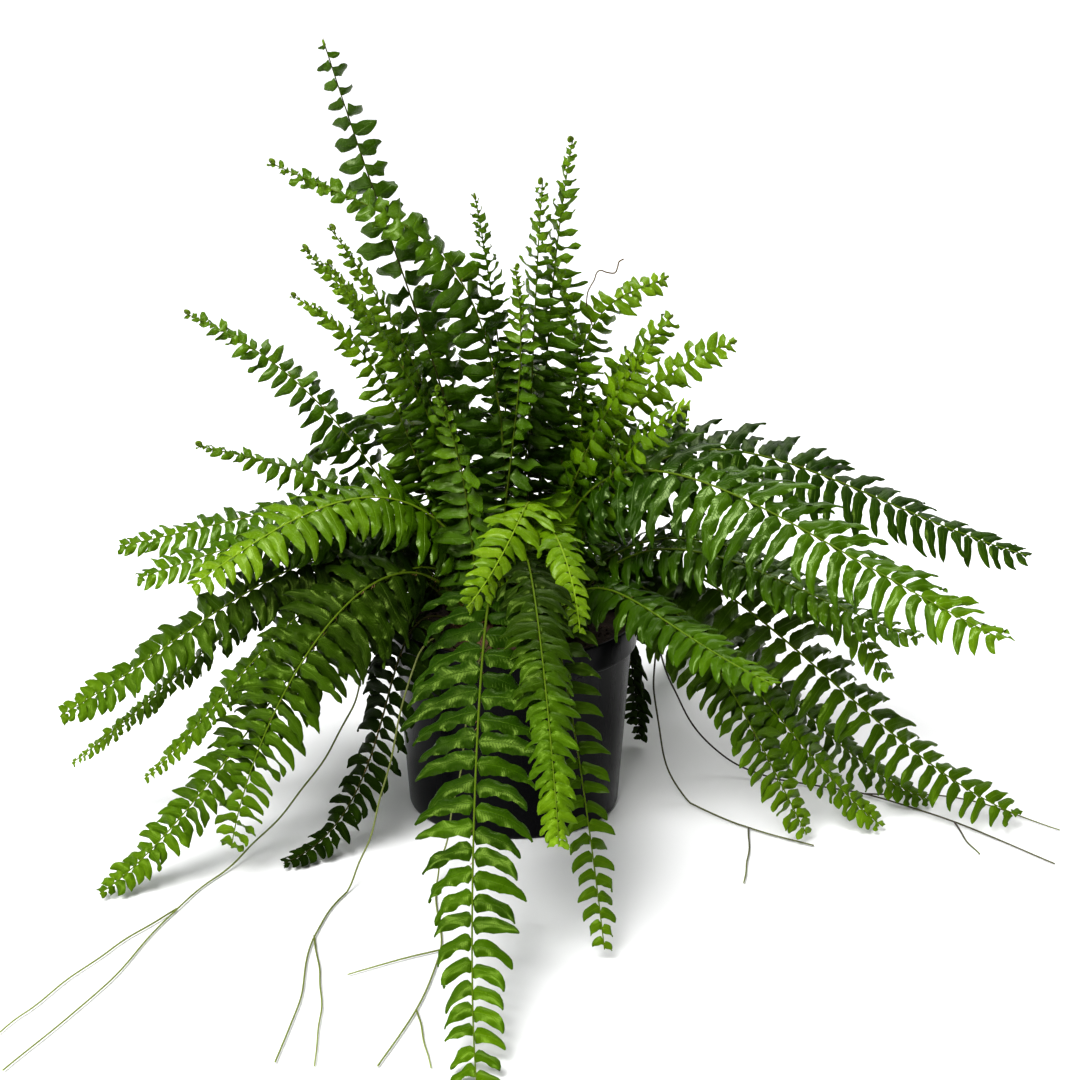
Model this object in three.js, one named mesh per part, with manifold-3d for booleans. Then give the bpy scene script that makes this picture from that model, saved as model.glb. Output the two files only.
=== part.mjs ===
// A sword fern in a plain nursery pot.
//
// Millimetres, +Z up. The origin is the centre of the pot's underside, on the surface that it
// stands on. -Y is the plant's front. An azimuth of 0 degrees points along +X and 90 along +Y.

import * as THREE from 'three'
import { mergeVertices } from 'three/addons/utils/BufferGeometryUtils.js'
import Module from 'manifold-3d'

const wasm = await Module()
wasm.setup()

// ---------------------------------------------------------------- driving dimensions

const POT_HEIGHT = 145
const POT_LIP_RADIUS = 90
const POT_NECK_RADIUS = 86
const POT_BASE_RADIUS = 77
const POT_WALL = 1.6
const POT_FLOOR = 3
const COLLAR_HEIGHT = 22
const COLLAR_SHOULDER = 4
const POT_BEVEL = 3
const LIP_BEVEL = 0.6
const LIP_EXTRA_WALL = 0.8
const POT_SIDES = 30
const DRAIN_HOLES = 6
const DRAIN_RADIUS = 5
const DRAIN_RING = 52

const SOIL_TOP = 133
const SOIL_GAP = 0.3
const SOIL_RELIEF = 1.6
const SOIL_EDGE_DROP = 2
const SOIL_RINGS = [78, 66, 54]
const SOIL_SIDES = 22
const CROWN_RADIUS = 47
const CROWN_BOTTOM = 121
const CROWN_TOP = 150
const CROWN_RELIEF = 1.5
const CROWN_SIDES = 16
const ROOT_Z = 135
const HOLE_GAP = 0.4

const RIB_ROOT = 1.9 // half of a rib's thickness where it leaves the crown
const RIB_TIP = 0.9
const RUNNER_RADIUS = 0.9
const CLEARANCE = 0.35
const LOWEST_LEAF = 1.4
const KITES_FROM = 0.62 // past this share of the leafy part, leaflets have one shoulder
const LONGEST_AT = 0.2 // the share of the leafy part where the leaflets are longest
const FIRST_LEAFLET = 0.62 // the first one's length, as a share of the longest
const SEED = 20

// A leaflet's form, as shares of its length: where its shoulders are, how far its point bends towards
// the frond's tip and how far it sags. Half its width is a share of its space along the rib, or less
// for a short one, and the shoulder nearer to the point is a little lower.
const LEAFLET = {
  nearShoulder: 0.38, farShoulder: 0.66, onlyShoulder: 0.5, bend: 0.05, sag: 0.07,
  spaceShare: 0.41, lengthShare: 0.2, extra: 2, farShoulderHeight: 0.85,
}
const DROOP = 11
const DROOP_SPREAD = 6
const SIZE_SPREAD = 0.06

// What the fronds of a group share: where their leaflets begin, how many degrees the first leaflet
// leans towards the frond's tip, how many more the last one does, how much shorter that one is, and
// the share of the roll that the blade has at its root.
const GROUPS = {
  hanging: { leafStart: 0.2, lean: 3, leanMore: 14, shrink: 0.74, rootRoll: 1 },
  spreading: { leafStart: 0.2, lean: 12, leanMore: 30, shrink: 0.66, rootRoll: 0.35 },
  upright: { leafStart: 0.24, lean: 6, leanMore: 16, shrink: 0.62, rootRoll: 1 },
  rear: { leafStart: 0.2, lean: 8, leanMore: 20, shrink: 0.74, rootRoll: 1 },
}

// One row for each frond, all of them rising from the crown in the upright plane of their azimuth:
// azimuth, how far from the pot's axis the root stands, how far its tip reaches and how high that is,
// the slope at which it launches and the slope at its tip, how strongly it keeps to the first and to
// the last of these, how far its tip sways aside, its longest leaflet, its pairs of leaflets, the roll
// of its blade about the rib, and the power by which its leaflets shorten towards the tip.
const FRONDS = {
  hanging: [
    [-99, 30, 436, 4, 70, -10, 215, 130, 52, 62, 20, 0, 0.75],
    [-77, 33, 272, 10, 72, -60, 160, 110, 0, 32, 14, 0, 1],
    [-84, 20, 300, 100, 80, -50, 170, 120, 0, 34, 12, 0, 1],
    [-143, 32, 242, 26, 66, -78, 160, 110, 0, 54, 16, -35, 1],
    [-148, 18, 330, 6, 66, -22, 190, 120, 0, 40, 16, -30, 1],
    [-165, 30, 328, 100, 66, -25, 165, 110, 0, 44, 16, -30, 1],
    [-172, 20, 322, 46, 64, -35, 170, 130, 0, 24, 12, -20, 1],
    [-156, 36, 280, 64, 64, -35, 160, 90, 0, 26, 12, -20, 1],
    [-136, 38, 202, 5, 45, -5, 148, 116, -20, 36, 12, -10, 1],
    [158, 38, 118, 44, 64, -85, 110, 60, 0, 26, 9, 0, 1],
    [-10, 30, 368, 14, 68, -20, 180, 140, 0, 56, 18, 35, 1],
    [-4, 38, 308, 6, 66, -20, 150, 130, 0, 42, 14, 30, 1],
    [-14, 18, 274, 6, 66, -35, 160, 110, 0, 40, 13, 30, 1],
    [-22, 37, 226, 8, 64, -60, 140, 100, 0, 42, 13, 30, 1],
    [44, 38, 136, 6, 66, -85, 110, 80, 0, 38, 9, 0, 1],
  ],
  spreading: [
    [180, 25, 283, 197, 70, -10, 150, 110, 0, 36, 14, -32, 1.5],
    [-169, 38, 268, 190, 70, -15, 130, 90, 0, 36, 13, -32, 1.5],
    [-160, 9, 236, 194, 72, -32, 170, 100, 0, 42, 15, -26, 1.5],
    [-28, 23, 366, 190, 84, -18, 225, 190, 0, 56, 18, 34, 1.5],
    [6, 26, 380, 176, 74, -18, 240, 170, 0, 50, 16, 28, 1.5],
    [-24, 33, 304, 172, 62, -10, 150, 120, 0, 34, 12, 24, 1.5],
    [-18, 28, 278, 128, 66, -55, 150, 100, 0, 36, 13, 30, 1.5],
    [-42, 34, 235, 152, 64, -8, 100, 120, 0, 34, 13, 22, 1.5],
    [-72, 16, 150, 183, 84, -75, 150, 60, 0, 26, 11, 0, 1.5],
    [-60, 24, 108, 201, 88, -75, 170, 50, -96, 34, 11, 0, 1.5],
  ],
  upright: [
    [152, 13, 150, 546, 80, 70, 160, 200, 0, 30, 17, -60, 2.2],
    [166, 6, 174, 466, 92, 22, 300, 130, 0, 30, 15, -40, 2.2],
    [175, 18, 127, 426, 80, 55, 170, 90, 0, 24, 11, -40, 2.2],
    [166, 25, 152, 406, 82, 45, 190, 90, 0, 22, 11, -40, 2.2],
    [-172, 14.5, 128, 408, 80, 55, 160, 80, 0, 22, 10, -40, 2.2],
    [173, 33, 156, 376, 74, 28, 150, 80, 0, 24, 11, -40, 2.2],
    [165, 34, 244, 352, 60, 18, 130, 100, 0, 28, 13, -40, 2.2],
    [-176, 40, 222, 276, 62, 14, 130, 100, 0, 26, 12, -30, 2.2],
    [90, 15, 22, 447, 88, 90, 140, 100, 26, 24, 12, 0, 2.2],
    [58, 13, 40, 455, 86, 82, 120, 80, 0, 30, 14, 0, 2.2],
    [47, 21, 62, 482, 86, 75, 160, 100, 0, 30, 15, 0, 2.2],
    [-125, 26, -4, 400, 98, 76, 140, 80, 0, 28, 12, 0, 2.2],
    [22, 30, 30, 412, 76, 108, 140, 90, 0, 28, 12, 0, 2.2],
    [31, 27, 128, 378, 84, 12, 240, 70, 0, 26, 12, 55, 2.2],
    [13, 14, 88, 330, 78, 60, 110, 60, 0, 26, 10, 55, 2.2],
    [-20, 13, 104, 356, 76, 55, 120, 80, 0, 28, 11, 55, 2.2],
    [-2, 9, 155, 348, 70, 18, 130, 80, 0, 28, 11, 55, 2.2],
    [-30, 29, 138, 318, 70, 30, 110, 70, 0, 26, 10, 55, 2.2],
    [-128, 34, 84, 330, 80, 60, 100, 70, 0, 28, 10, 0, 2.2],
    [134, 24, 92, 372, 78, 60, 120, 70, 0, 28, 10, 0, 2.2],
    [14, 37, 116, 358, 82, 42, 120, 70, 0, 28, 9, 55, 2.2],
  ],
  rear: [
    [98, 32, 362, 8, 68, -20, 190, 120, 0, 50, 15, 0, 1.15],
    [63, 34, 330, 10, 66, -25, 170, 120, 0, 46, 14, 0, 1.15],
    [126, 35, 330, 12, 66, -25, 170, 120, 0, 46, 14, 0, 1.15],
    [80, 24, 190, 262, 80, -30, 230, 90, 0, 42, 14, 0, 1.15],
    [142, 36, 215, 215, 78, -35, 220, 95, 0, 42, 14, 0, 1.15],
    [24, 37, 250, 190, 76, -35, 220, 100, 0, 42, 14, 0, 1.15],
  ],
}

// The thin runners: a list of bends for each branch, from the soil over the lip and down to the surface.
const RUNNERS = [
  [
    [[-52, -24, 132], [-70, -32, 150], [-98, -45, 140], [-116, -56, 90], [-150, -80, 40], [-190, -115, 6],
      [-226, -190, 2], [-258, -300, 2], [-302, -405, 2]],
    [[-226, -190, 2], [-262, -250, 2], [-300, -330, 2], [-322, -380, 2]],
  ],
  [
    [[-36, -44, 132], [-56, -72, 152], [-68, -92, 140], [-84, -112, 80], [-98, -132, 30], [-112, -160, 3],
      [-130, -230, 2], [-132, -320, 2], [-140, -395, 2]],
    [[-130, -230, 2], [-119, -310, 2], [-116, -400, 2]],
  ],
  [
    [[-10, -56, 132], [-17, -82, 151], [-26, -102, 134], [-36, -112, 70], [-46, -122, 20], [-52, -150, 3],
      [-46, -250, 2], [-58, -330, 2], [-78, -400, 2]],
    [[-46, -250, 2], [-76, -266, 2], [-104, -284, 2]],
    [[-58, -330, 2], [-52, -364, 2], [-46, -402, 2]],
  ],
  [
    [[54, 6, 132], [76, 8, 151], [100, 10, 138], [104, 6, 80], [112, 0, 30], [128, -14, 3], [170, -60, 2],
      [214, -90, 2]],
    [[170, -60, 2], [166, -110, 2], [160, -150, 2]],
  ],
  [
    [[52, 26, 132], [74, 36, 151], [98, 46, 136], [118, 50, 70], [150, 46, 20], [190, 30, 3], [260, 0, 2],
      [320, -50, 2], [380, -120, 2]],
    [[320, -50, 2], [324, -80, 2], [330, -104, 2]],
    [[260, 0, 2], [330, -8, 2], [394, -64, 2]],
  ],
]

const COLOURS = {
  pot: 0x17171b,
  soil: 0x2b2019,
  crown: 0x4a3524,
  hanging: 0x2c5a1c,
  spreading: 0x3a6f20,
  upright: 0x4c8426,
  rear: 0x2f5f1e,
  runner: 0x6b6a3c,
}

// ---------------------------------------------------------------- small tools

const radians = THREE.MathUtils.degToRad

function seededRandom(seed) {
  let state = seed
  return () => {
    state = (state * 1664525 + 1013904223) % 4294967296
    return state / 4294967296
  }
}

const random = seededRandom(SEED)
const spread = (amount) => (2 * random() - 1) * amount

function vector(x, y, z) {
  return new THREE.Vector3(x, y, z)
}

// start + a * alpha + b * beta + ...
function moved(start, ...steps) {
  const point = start.clone()
  for (let i = 0; i < steps.length; i += 2) point.addScaledVector(steps[i], steps[i + 1])
  return point
}

class Shell {
  constructor() {
    this.points = []
    this.faces = []
  }

  point(p) {
    this.points.push(p.x, p.y, p.z)
    return this.points.length / 3 - 1
  }

  face(a, b, c) {
    this.faces.push(a, b, c)
  }

  geometry() {
    const geometry = new THREE.BufferGeometry()
    geometry.setAttribute('position', new THREE.Float32BufferAttribute(this.points, 3))
    geometry.setIndex(this.faces)
    return geometry
  }
}

function toSolid(geometry) {
  const bare = geometry.clone()
  bare.deleteAttribute('normal')
  bare.deleteAttribute('uv')
  const merged = mergeVertices(bare, 1e-4)
  return new wasm.Manifold(new wasm.Mesh({
    numProp: 3,
    vertProperties: new Float32Array(merged.attributes.position.array),
    triVerts: new Uint32Array(merged.index.array),
  }))
}

function toGeometry(solid) {
  const mesh = solid.getMesh()
  const geometry = new THREE.BufferGeometry()
  geometry.setAttribute('position', new THREE.Float32BufferAttribute(mesh.vertProperties, 3))
  geometry.setIndex([...mesh.triVerts])
  return geometry
}

// A bar of diamond section through the stations, each with a point, two directions and half sizes.
function diamondBar(stations) {
  const shell = new Shell()
  const rings = stations.map(({ point, across, up, half }) => [
    shell.point(moved(point, across, half)),
    shell.point(moved(point, up, half)),
    shell.point(moved(point, across, -half)),
    shell.point(moved(point, up, -half)),
  ])
  for (let i = 0; i + 1 < rings.length; i++) {
    for (let k = 0; k < 4; k++) {
      const [a, b] = [rings[i][k], rings[i][(k + 1) % 4]]
      const [c, d] = [rings[i + 1][k], rings[i + 1][(k + 1) % 4]]
      shell.face(a, b, c)
      shell.face(b, d, c)
    }
  }
  const [first, last] = [rings[0], rings[rings.length - 1]]
  shell.face(first[0], first[2], first[1])
  shell.face(first[0], first[3], first[2])
  shell.face(last[0], last[1], last[2])
  shell.face(last[0], last[2], last[3])
  return shell.geometry()
}

// ---------------------------------------------------------------- pot, soil and crown

function wallRadius(z) {
  return THREE.MathUtils.lerp(POT_BASE_RADIUS, POT_NECK_RADIUS, z / (POT_HEIGHT - COLLAR_HEIGHT))
}

function lathe(profile, sides) {
  const points = profile.map(([radius, z]) => new THREE.Vector2(radius, z))
  return new THREE.LatheGeometry(points, sides).rotateX(Math.PI / 2)
}

function potSolid() {
  const neck = POT_HEIGHT - COLLAR_HEIGHT
  const inner = POT_LIP_RADIUS - POT_WALL
  let pot = toSolid(lathe([
    [0, 0],
    [POT_BASE_RADIUS - POT_BEVEL, 0],
    [POT_BASE_RADIUS, POT_FLOOR],
    [POT_NECK_RADIUS, neck],
    [POT_LIP_RADIUS - LIP_BEVEL, neck + COLLAR_SHOULDER / 2],
    [POT_LIP_RADIUS, neck + COLLAR_SHOULDER],
    [POT_LIP_RADIUS, POT_HEIGHT - LIP_BEVEL],
    [POT_LIP_RADIUS - LIP_BEVEL, POT_HEIGHT],
    [inner - LIP_EXTRA_WALL / 2, POT_HEIGHT],
    [inner - LIP_EXTRA_WALL, POT_HEIGHT - 2 * LIP_EXTRA_WALL],
    [inner - LIP_EXTRA_WALL, neck + COLLAR_SHOULDER],
    [POT_NECK_RADIUS - POT_WALL, neck],
    [wallRadius(POT_FLOOR) - POT_WALL, POT_FLOOR],
    [0, POT_FLOOR],
  ], POT_SIDES))
  for (let i = 0; i < DRAIN_HOLES; i++) {
    const angle = (i + 0.5) * 2 * Math.PI / DRAIN_HOLES
    const drill = new THREE.CylinderGeometry(DRAIN_RADIUS, DRAIN_RADIUS, 4 * POT_FLOOR, 6)
    drill.rotateX(Math.PI / 2)
    drill.translate(DRAIN_RING * Math.cos(angle), DRAIN_RING * Math.sin(angle), 0)
    pot = pot.subtract(toSolid(drill))
  }
  return pot
}

// Moves each point above this height up or down, in lumps a few centimetres across.
function roughened(geometry, amount, from) {
  const place = geometry.attributes.position
  for (let i = 0; i < place.count; i++) {
    const [x, y, z] = [place.getX(i), place.getY(i), place.getZ(i)]
    if (z < from) continue
    const broad = Math.sin(x / 5.3 + 1.3) * Math.cos(y / 4.3)
    const fine = Math.sin(y / 2.4 - x / 3)
    place.setZ(i, z + amount * (broad + 0.6 * fine))
  }
  return geometry
}

function soilSolid(crownBed) {
  const side = (z) => wallRadius(z) - POT_WALL - SOIL_GAP
  const neck = POT_HEIGHT - COLLAR_HEIGHT
  const edge = POT_NECK_RADIUS - POT_WALL - SOIL_GAP
  const mound = lathe([
    [0, POT_FLOOR + SOIL_GAP],
    [side(POT_FLOOR) - SOIL_GAP, POT_FLOOR + SOIL_GAP],
    [side(neck) - SOIL_GAP, neck],
    [edge, SOIL_TOP - SOIL_EDGE_DROP],
    ...SOIL_RINGS.map((radius) => [radius, SOIL_TOP]),
    [0, SOIL_TOP],
  ], SOIL_SIDES)
  return toSolid(roughened(mound, SOIL_RELIEF, SOIL_TOP - 1)).subtract(crownBed)
}

function crownShape(grow) {
  const top = CROWN_TOP + grow
  const mound = lathe([
    [0, CROWN_BOTTOM - grow],
    [CROWN_RADIUS - 6 + grow, CROWN_BOTTOM - grow],
    [CROWN_RADIUS + grow, SOIL_TOP - 4],
    [CROWN_RADIUS - 2 + grow, SOIL_TOP + 6],
    [CROWN_RADIUS - 10, top - 4],
    [CROWN_RADIUS - 26, top],
    [0, top],
  ], CROWN_SIDES)
  return toSolid(roughened(mound, CROWN_RELIEF, SOIL_TOP + 5))
}

// ---------------------------------------------------------------- fronds

class Frond {
  constructor(group, index, row) {
    const [azimuth, root, reach, tip, launch, slope, rise, fall, sway, leaflet, pairs, roll, power] = row
    Object.assign(this, GROUPS[group])
    this.group = group
    this.power = power
    this.name = `${group}_frond_${String(index + 1).padStart(2, '0')}`
    this.leaflet = leaflet
    this.pairs = pairs
    this.roll = radians(roll)
    const turn = radians(azimuth)
    this.side = vector(-Math.sin(turn), Math.cos(turn), 0)
    const place = (out, z, aside) => moved(
      vector(0, 0, z), vector(Math.cos(turn), Math.sin(turn), 0), out, this.side, aside)
    const [up, down] = [radians(launch), radians(slope)]
    this.curve = new THREE.CubicBezierCurve3(
      place(root, ROOT_Z, 0),
      place(root + rise * Math.cos(up), ROOT_Z + rise * Math.sin(up), 0),
      place(reach - fall * Math.cos(down), tip - fall * Math.sin(down), sway / 3),
      place(reach, tip, sway),
    )
    this.length = this.curve.getLength()
    this.pitch = this.length * (1 - this.leafStart) / pairs
  }

  // A frond with small leaflets has a thinner rib.
  ribHalf(u) {
    const root = RIB_ROOT * THREE.MathUtils.lerp(0.7, 1, this.leaflet / 60)
    return THREE.MathUtils.lerp(root, RIB_TIP, u)
  }

  // How long a leaflet is at this share of the leafy part of the rib.
  leafLength(v) {
    if (v < LONGEST_AT) return this.leaflet * THREE.MathUtils.lerp(FIRST_LEAFLET, 1, v / LONGEST_AT)
    return this.leaflet * (1 - this.shrink * ((v - LONGEST_AT) / (1 - LONGEST_AT)) ** this.power)
  }

  // The rib's centre and the blade's directions at this share of the rib's length.
  frame(u) {
    const point = this.curve.getPointAt(u)
    const along = this.curve.getTangentAt(u)
    const flat = moved(this.side, along, -this.side.dot(along)).normalize()
    const above = along.clone().cross(flat)
    const roll = this.roll * THREE.MathUtils.lerp(this.rootRoll, 1, u)
    const across = moved(vector(0, 0, 0), flat, Math.cos(roll), above, Math.sin(roll))
    return { point, along, across, up: along.clone().cross(across), half: this.ribHalf(u) }
  }

  notchAt(i) {
    return this.leafStart + (1 - this.leafStart) * i / (this.pairs + 0.35)
  }

  stalk() {
    const steps = 3
    return Array.from({ length: steps + 1 }, (_, i) => this.frame(this.leafStart * i / steps))
  }

  // Corners of one leaflet: its two notches at the rib, its two shoulders and its point.
  outline(i, hand, droop, share) {
    const [start, end] = [this.frame(this.notchAt(i)), this.frame(this.notchAt(i + 1))]
    const { point, along, across, up } = this.frame((this.notchAt(i) + this.notchAt(i + 1)) / 2)
    const v = (i + 0.5) / this.pairs
    const length = this.leafLength(v) * share
    const lean = radians(this.lean + this.leanMore * v)
    const out = moved(vector(0, 0, 0), across, hand * Math.cos(droop), up, -Math.sin(droop))
    const lead = moved(vector(0, 0, 0), out, Math.cos(lean), along, Math.sin(lean))
    const half = Math.min(LEAFLET.spaceShare * this.pitch, LEAFLET.lengthShare * length + LEAFLET.extra)
    const notch = (f) => moved(f.point, f.across, hand * f.half)
    const shoulder = (away, height) => moved(point, lead, away * length, along, height)
    const tip = moved(point, lead, length, along, LEAFLET.bend * length, up, -LEAFLET.sag * length)
    if (v > KITES_FROM) return [notch(start), shoulder(LEAFLET.onlyShoulder, -half), tip, notch(end)]
    return [
      notch(start),
      shoulder(LEAFLET.nearShoulder, -half),
      tip,
      shoulder(LEAFLET.farShoulder, LEAFLET.farShoulderHeight * half),
      notch(end),
    ]
  }

  // The same leaflet as a slab with the clearance that its neighbours keep.
  guard(i, corners) {
    const rib = this.ribHalf((this.notchAt(i) + this.notchAt(i + 1)) / 2)
    const length = corners[2].clone().sub(corners[0])
    const normal = length.cross(corners[3].clone().sub(corners[1])).normalize()
    const thickness = corners.map(() => 0.5 * rib + CLEARANCE)
    thickness[0] = thickness[corners.length - 1] = rib + CLEARANCE
    thickness[2] = 0.2 + CLEARANCE
    const shell = new Shell()
    const above = corners.map((p, k) => shell.point(moved(p, normal, thickness[k])))
    const below = corners.map((p, k) => shell.point(moved(p, normal, -thickness[k])))
    for (let k = 1; k + 1 < corners.length; k++) {
      shell.face(above[0], above[k], above[k + 1])
      shell.face(below[0], below[k + 1], below[k])
    }
    for (let k = 0; k < corners.length; k++) {
      const next = (k + 1) % corners.length
      shell.face(above[k], below[k], above[next])
      shell.face(above[next], below[k], below[next])
    }
    return toSolid(shell.geometry())
  }

  // The whole frond as one thin closed blade: a diamond rib whose edges run out into the leaflets.
  geometry() {
    const shell = new Shell()
    const ring = ({ point, across, up, half }) => ({
      left: shell.point(moved(point, across, half)),
      right: shell.point(moved(point, across, -half)),
      top: shell.point(moved(point, up, half)),
      bottom: shell.point(moved(point, up, -half)),
    })
    const rings = this.stalk().map(ring)
    shell.face(rings[0].left, rings[0].right, rings[0].top)
    shell.face(rings[0].left, rings[0].bottom, rings[0].right)
    for (let k = 0; k + 1 < rings.length; k++) {
      const [a, b] = [rings[k], rings[k + 1]]
      const corners = ['left', 'top', 'right', 'bottom']
      corners.forEach((corner, n) => {
        const next = corners[(n + 1) % 4]
        shell.face(a[corner], a[next], b[corner])
        shell.face(a[next], b[next], b[corner])
      })
    }
    let { left, right, top, bottom } = rings[rings.length - 1]
    const pin = (a, b, c, hand) => (hand > 0 ? shell.face(a, b, c) : shell.face(a, c, b))
    for (let i = 0; i < this.pairs; i++) {
      const middle = this.frame((this.notchAt(i) + this.notchAt(i + 1)) / 2)
      const crest = shell.point(moved(middle.point, middle.up, middle.half))
      const keel = shell.point(moved(middle.point, middle.up, -middle.half))
      const end = this.frame(this.notchAt(i + 1))
      const next = {
        left: shell.point(moved(end.point, end.across, end.half)),
        right: shell.point(moved(end.point, end.across, -end.half)),
      }
      for (const [hand, from, to, corners] of [
        [1, left, next.left, this.leaves[i].left],
        [-1, right, next.right, this.leaves[i].right],
      ]) {
        const rim = [from, ...corners.slice(1, -1).map((p) => shell.point(p)), to]
        pin(top, crest, from, hand)
        pin(bottom, from, keel, hand)
        for (let k = 0; k + 1 < rim.length; k++) {
          pin(crest, rim[k + 1], rim[k], hand)
          pin(keel, rim[k], rim[k + 1], hand)
        }
      }
      ;({ left, right } = next)
      top = crest
      bottom = keel
    }
    const point = shell.point(this.curve.getPointAt(1))
    pin(top, point, left, 1)
    pin(top, point, right, -1)
    pin(bottom, left, point, 1)
    pin(bottom, right, point, -1)
    return shell.geometry()
  }
}

// Everything that is already placed, as small guard solids with their boxes.
class Surroundings {
  constructor() {
    this.things = []
  }

  add(solid, owner) {
    const { min, max } = solid.boundingBox()
    this.things.push({ solid, owner, min, max })
  }

  clearOf(solid, owner) {
    const { min, max } = solid.boundingBox()
    return this.things.every((other) => {
      if (other.owner === owner) return true
      const apart = [0, 1, 2].some((axis) => other.min[axis] > max[axis] || other.max[axis] < min[axis])
      return apart || solid.intersect(other.solid).isEmpty()
    })
  }
}

const BENDS = [0, 9, -9, 18, -18, 28, -28, 40, -40, 54, -54]
const SHARES = [1, 0.75, 0.5, 0.3]

// Leaflets droop a little. One that would cross something is bent clear of it, else it is shorter.
function growLeaflets(frond, surroundings) {
  frond.leaves = []
  for (let i = 0; i < frond.pairs; i++) {
    const pair = {}
    for (const [name, hand] of [['left', 1], ['right', -1]]) {
      const [droop, size] = [DROOP + spread(DROOP_SPREAD), 1 + spread(SIZE_SPREAD)]
      pair[name] = placedLeaflet(frond, i, hand, droop, size, surroundings)
    }
    frond.leaves.push(pair)
  }
}

function placedLeaflet(frond, i, hand, droop, size, surroundings) {
  for (const share of SHARES) {
    for (const bend of BENDS) {
      const corners = frond.outline(i, hand, radians(droop + bend), size * share)
      if (corners.some((p) => p.z < LOWEST_LEAF)) continue
      const guard = frond.guard(i, corners)
      if (surroundings.clearOf(guard, frond.name)) {
        surroundings.add(guard, frond.name)
        return corners
      }
      guard.delete()
    }
  }
  const bare = frond.outline(i, hand, radians(droop), size)
  return [bare[0], bare.at(-1)]
}

function addRib(frond, surroundings) {
  const steps = 2 * frond.pairs
  for (let k = 0; k < steps; k++) {
    const pair = [frond.frame(k / steps), frond.frame((k + 1) / steps)]
    const fat = pair.map((station) => ({ ...station, half: station.half + CLEARANCE }))
    surroundings.add(toSolid(diamondBar(fat)), frond.name)
  }
}

function rootHole(frond) {
  const stations = frond.stalk()
  stations[0].point.addScaledVector(stations[0].along, -HOLE_GAP)
  for (const station of stations) station.half += HOLE_GAP
  return toSolid(diamondBar(stations))
}

// ---------------------------------------------------------------- runners

function runnerBranch(bends) {
  const curve = new THREE.CatmullRomCurve3(bends.map(([x, y, z]) => vector(x, y, z)), false, 'centripetal')
  const steps = 2 * (bends.length - 1)
  const stations = []
  for (let k = 0; k <= steps; k++) {
    const along = curve.getTangent(k / steps)
    const across = vector(-along.y, along.x, 0.001).normalize()
    const point = curve.getPoint(k / steps)
    point.z = Math.max(point.z, LOWEST_LEAF + RUNNER_RADIUS)
    stations.push({ point, across, up: across.clone().cross(along).negate(), half: RUNNER_RADIUS })
  }
  return stations
}

function runnerSolid(branches) {
  return branches
    .map((bends) => toSolid(diamondBar(runnerBranch(bends))))
    .reduce((whole, branch) => whole.add(branch))
}

// ---------------------------------------------------------------- the plant in its pot

const plant = new THREE.Group()

function addPiece(name, geometry, colour, roughness) {
  const material = new THREE.MeshStandardMaterial({ color: colour, roughness, metalness: 0 })
  const piece = new THREE.Mesh(geometry, material)
  piece.name = name
  plant.add(piece)
}

const surroundings = new Surroundings()
const pot = potSolid()
const fronds = Object.entries(FRONDS)
  .flatMap(([group, rows]) => rows.map((row, index) => new Frond(group, index, row)))

let crown = crownShape(0)
for (const frond of fronds) crown = crown.subtract(rootHole(frond))
const runners = RUNNERS.map(runnerSolid)
let soil = soilSolid(crownShape(SOIL_GAP))
for (const branches of RUNNERS) {
  const [root, next] = runnerBranch(branches[0])
  const drop = moved(root.point, next.point.clone().sub(root.point).normalize(), -HOLE_GAP)
  const half = RUNNER_RADIUS + HOLE_GAP
  soil = soil.subtract(toSolid(diamondBar([{ ...root, point: drop, half }, { ...next, half }])))
}

surroundings.add(pot, 'pot')
surroundings.add(soil, 'soil')
surroundings.add(crown, 'crown')
for (const runner of runners) surroundings.add(runner, 'runner')
for (const frond of fronds) addRib(frond, surroundings)
for (const frond of fronds) growLeaflets(frond, surroundings)

addPiece('pot', toGeometry(pot), COLOURS.pot, 0.4)
addPiece('soil', toGeometry(soil), COLOURS.soil, 0.95)
addPiece('crown', toGeometry(crown), COLOURS.crown, 0.9)
for (const frond of fronds) addPiece(frond.name, frond.geometry(), COLOURS[frond.group], 0.45)
runners.forEach((runner, index) => addPiece(`runner_${index + 1}`, toGeometry(runner), COLOURS.runner, 0.7))

export default plant
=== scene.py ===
# A sword fern in a plain nursery pot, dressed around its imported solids.
#
# Metres, +Z up. The origin is the centre of the pot's underside, on the floor. -Y is the plant's
# front. An azimuth of 0 degrees points along +X and 90 along +Y.

import functools
import math

import bpy
import numpy as np
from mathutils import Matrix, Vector, noise


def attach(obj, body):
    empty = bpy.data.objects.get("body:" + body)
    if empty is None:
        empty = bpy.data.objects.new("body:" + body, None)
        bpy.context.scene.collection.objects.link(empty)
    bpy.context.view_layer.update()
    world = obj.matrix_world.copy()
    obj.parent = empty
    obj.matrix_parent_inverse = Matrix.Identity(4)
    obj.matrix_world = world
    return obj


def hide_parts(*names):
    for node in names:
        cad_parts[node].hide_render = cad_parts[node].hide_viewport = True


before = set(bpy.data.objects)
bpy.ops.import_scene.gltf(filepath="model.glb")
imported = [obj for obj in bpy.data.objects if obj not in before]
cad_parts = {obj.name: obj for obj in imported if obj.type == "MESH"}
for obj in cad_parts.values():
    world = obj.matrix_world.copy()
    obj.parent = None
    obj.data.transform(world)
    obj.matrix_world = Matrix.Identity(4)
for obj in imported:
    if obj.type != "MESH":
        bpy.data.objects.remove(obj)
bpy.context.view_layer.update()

MM = 0.001

# -------- camera, light and floor

CAMERA_ELEVATION = math.radians(18.5)
CAMERA_AIM = Vector((0.0194, 0.0, 0.201))
CAMERA_DISTANCE = 1.9
# The photo's focal length and its side, in its own pixels.
FOCAL_PIXELS = 2639
FRAME_PIXELS = 1080
SENSOR_WIDTH = 36.0


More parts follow.
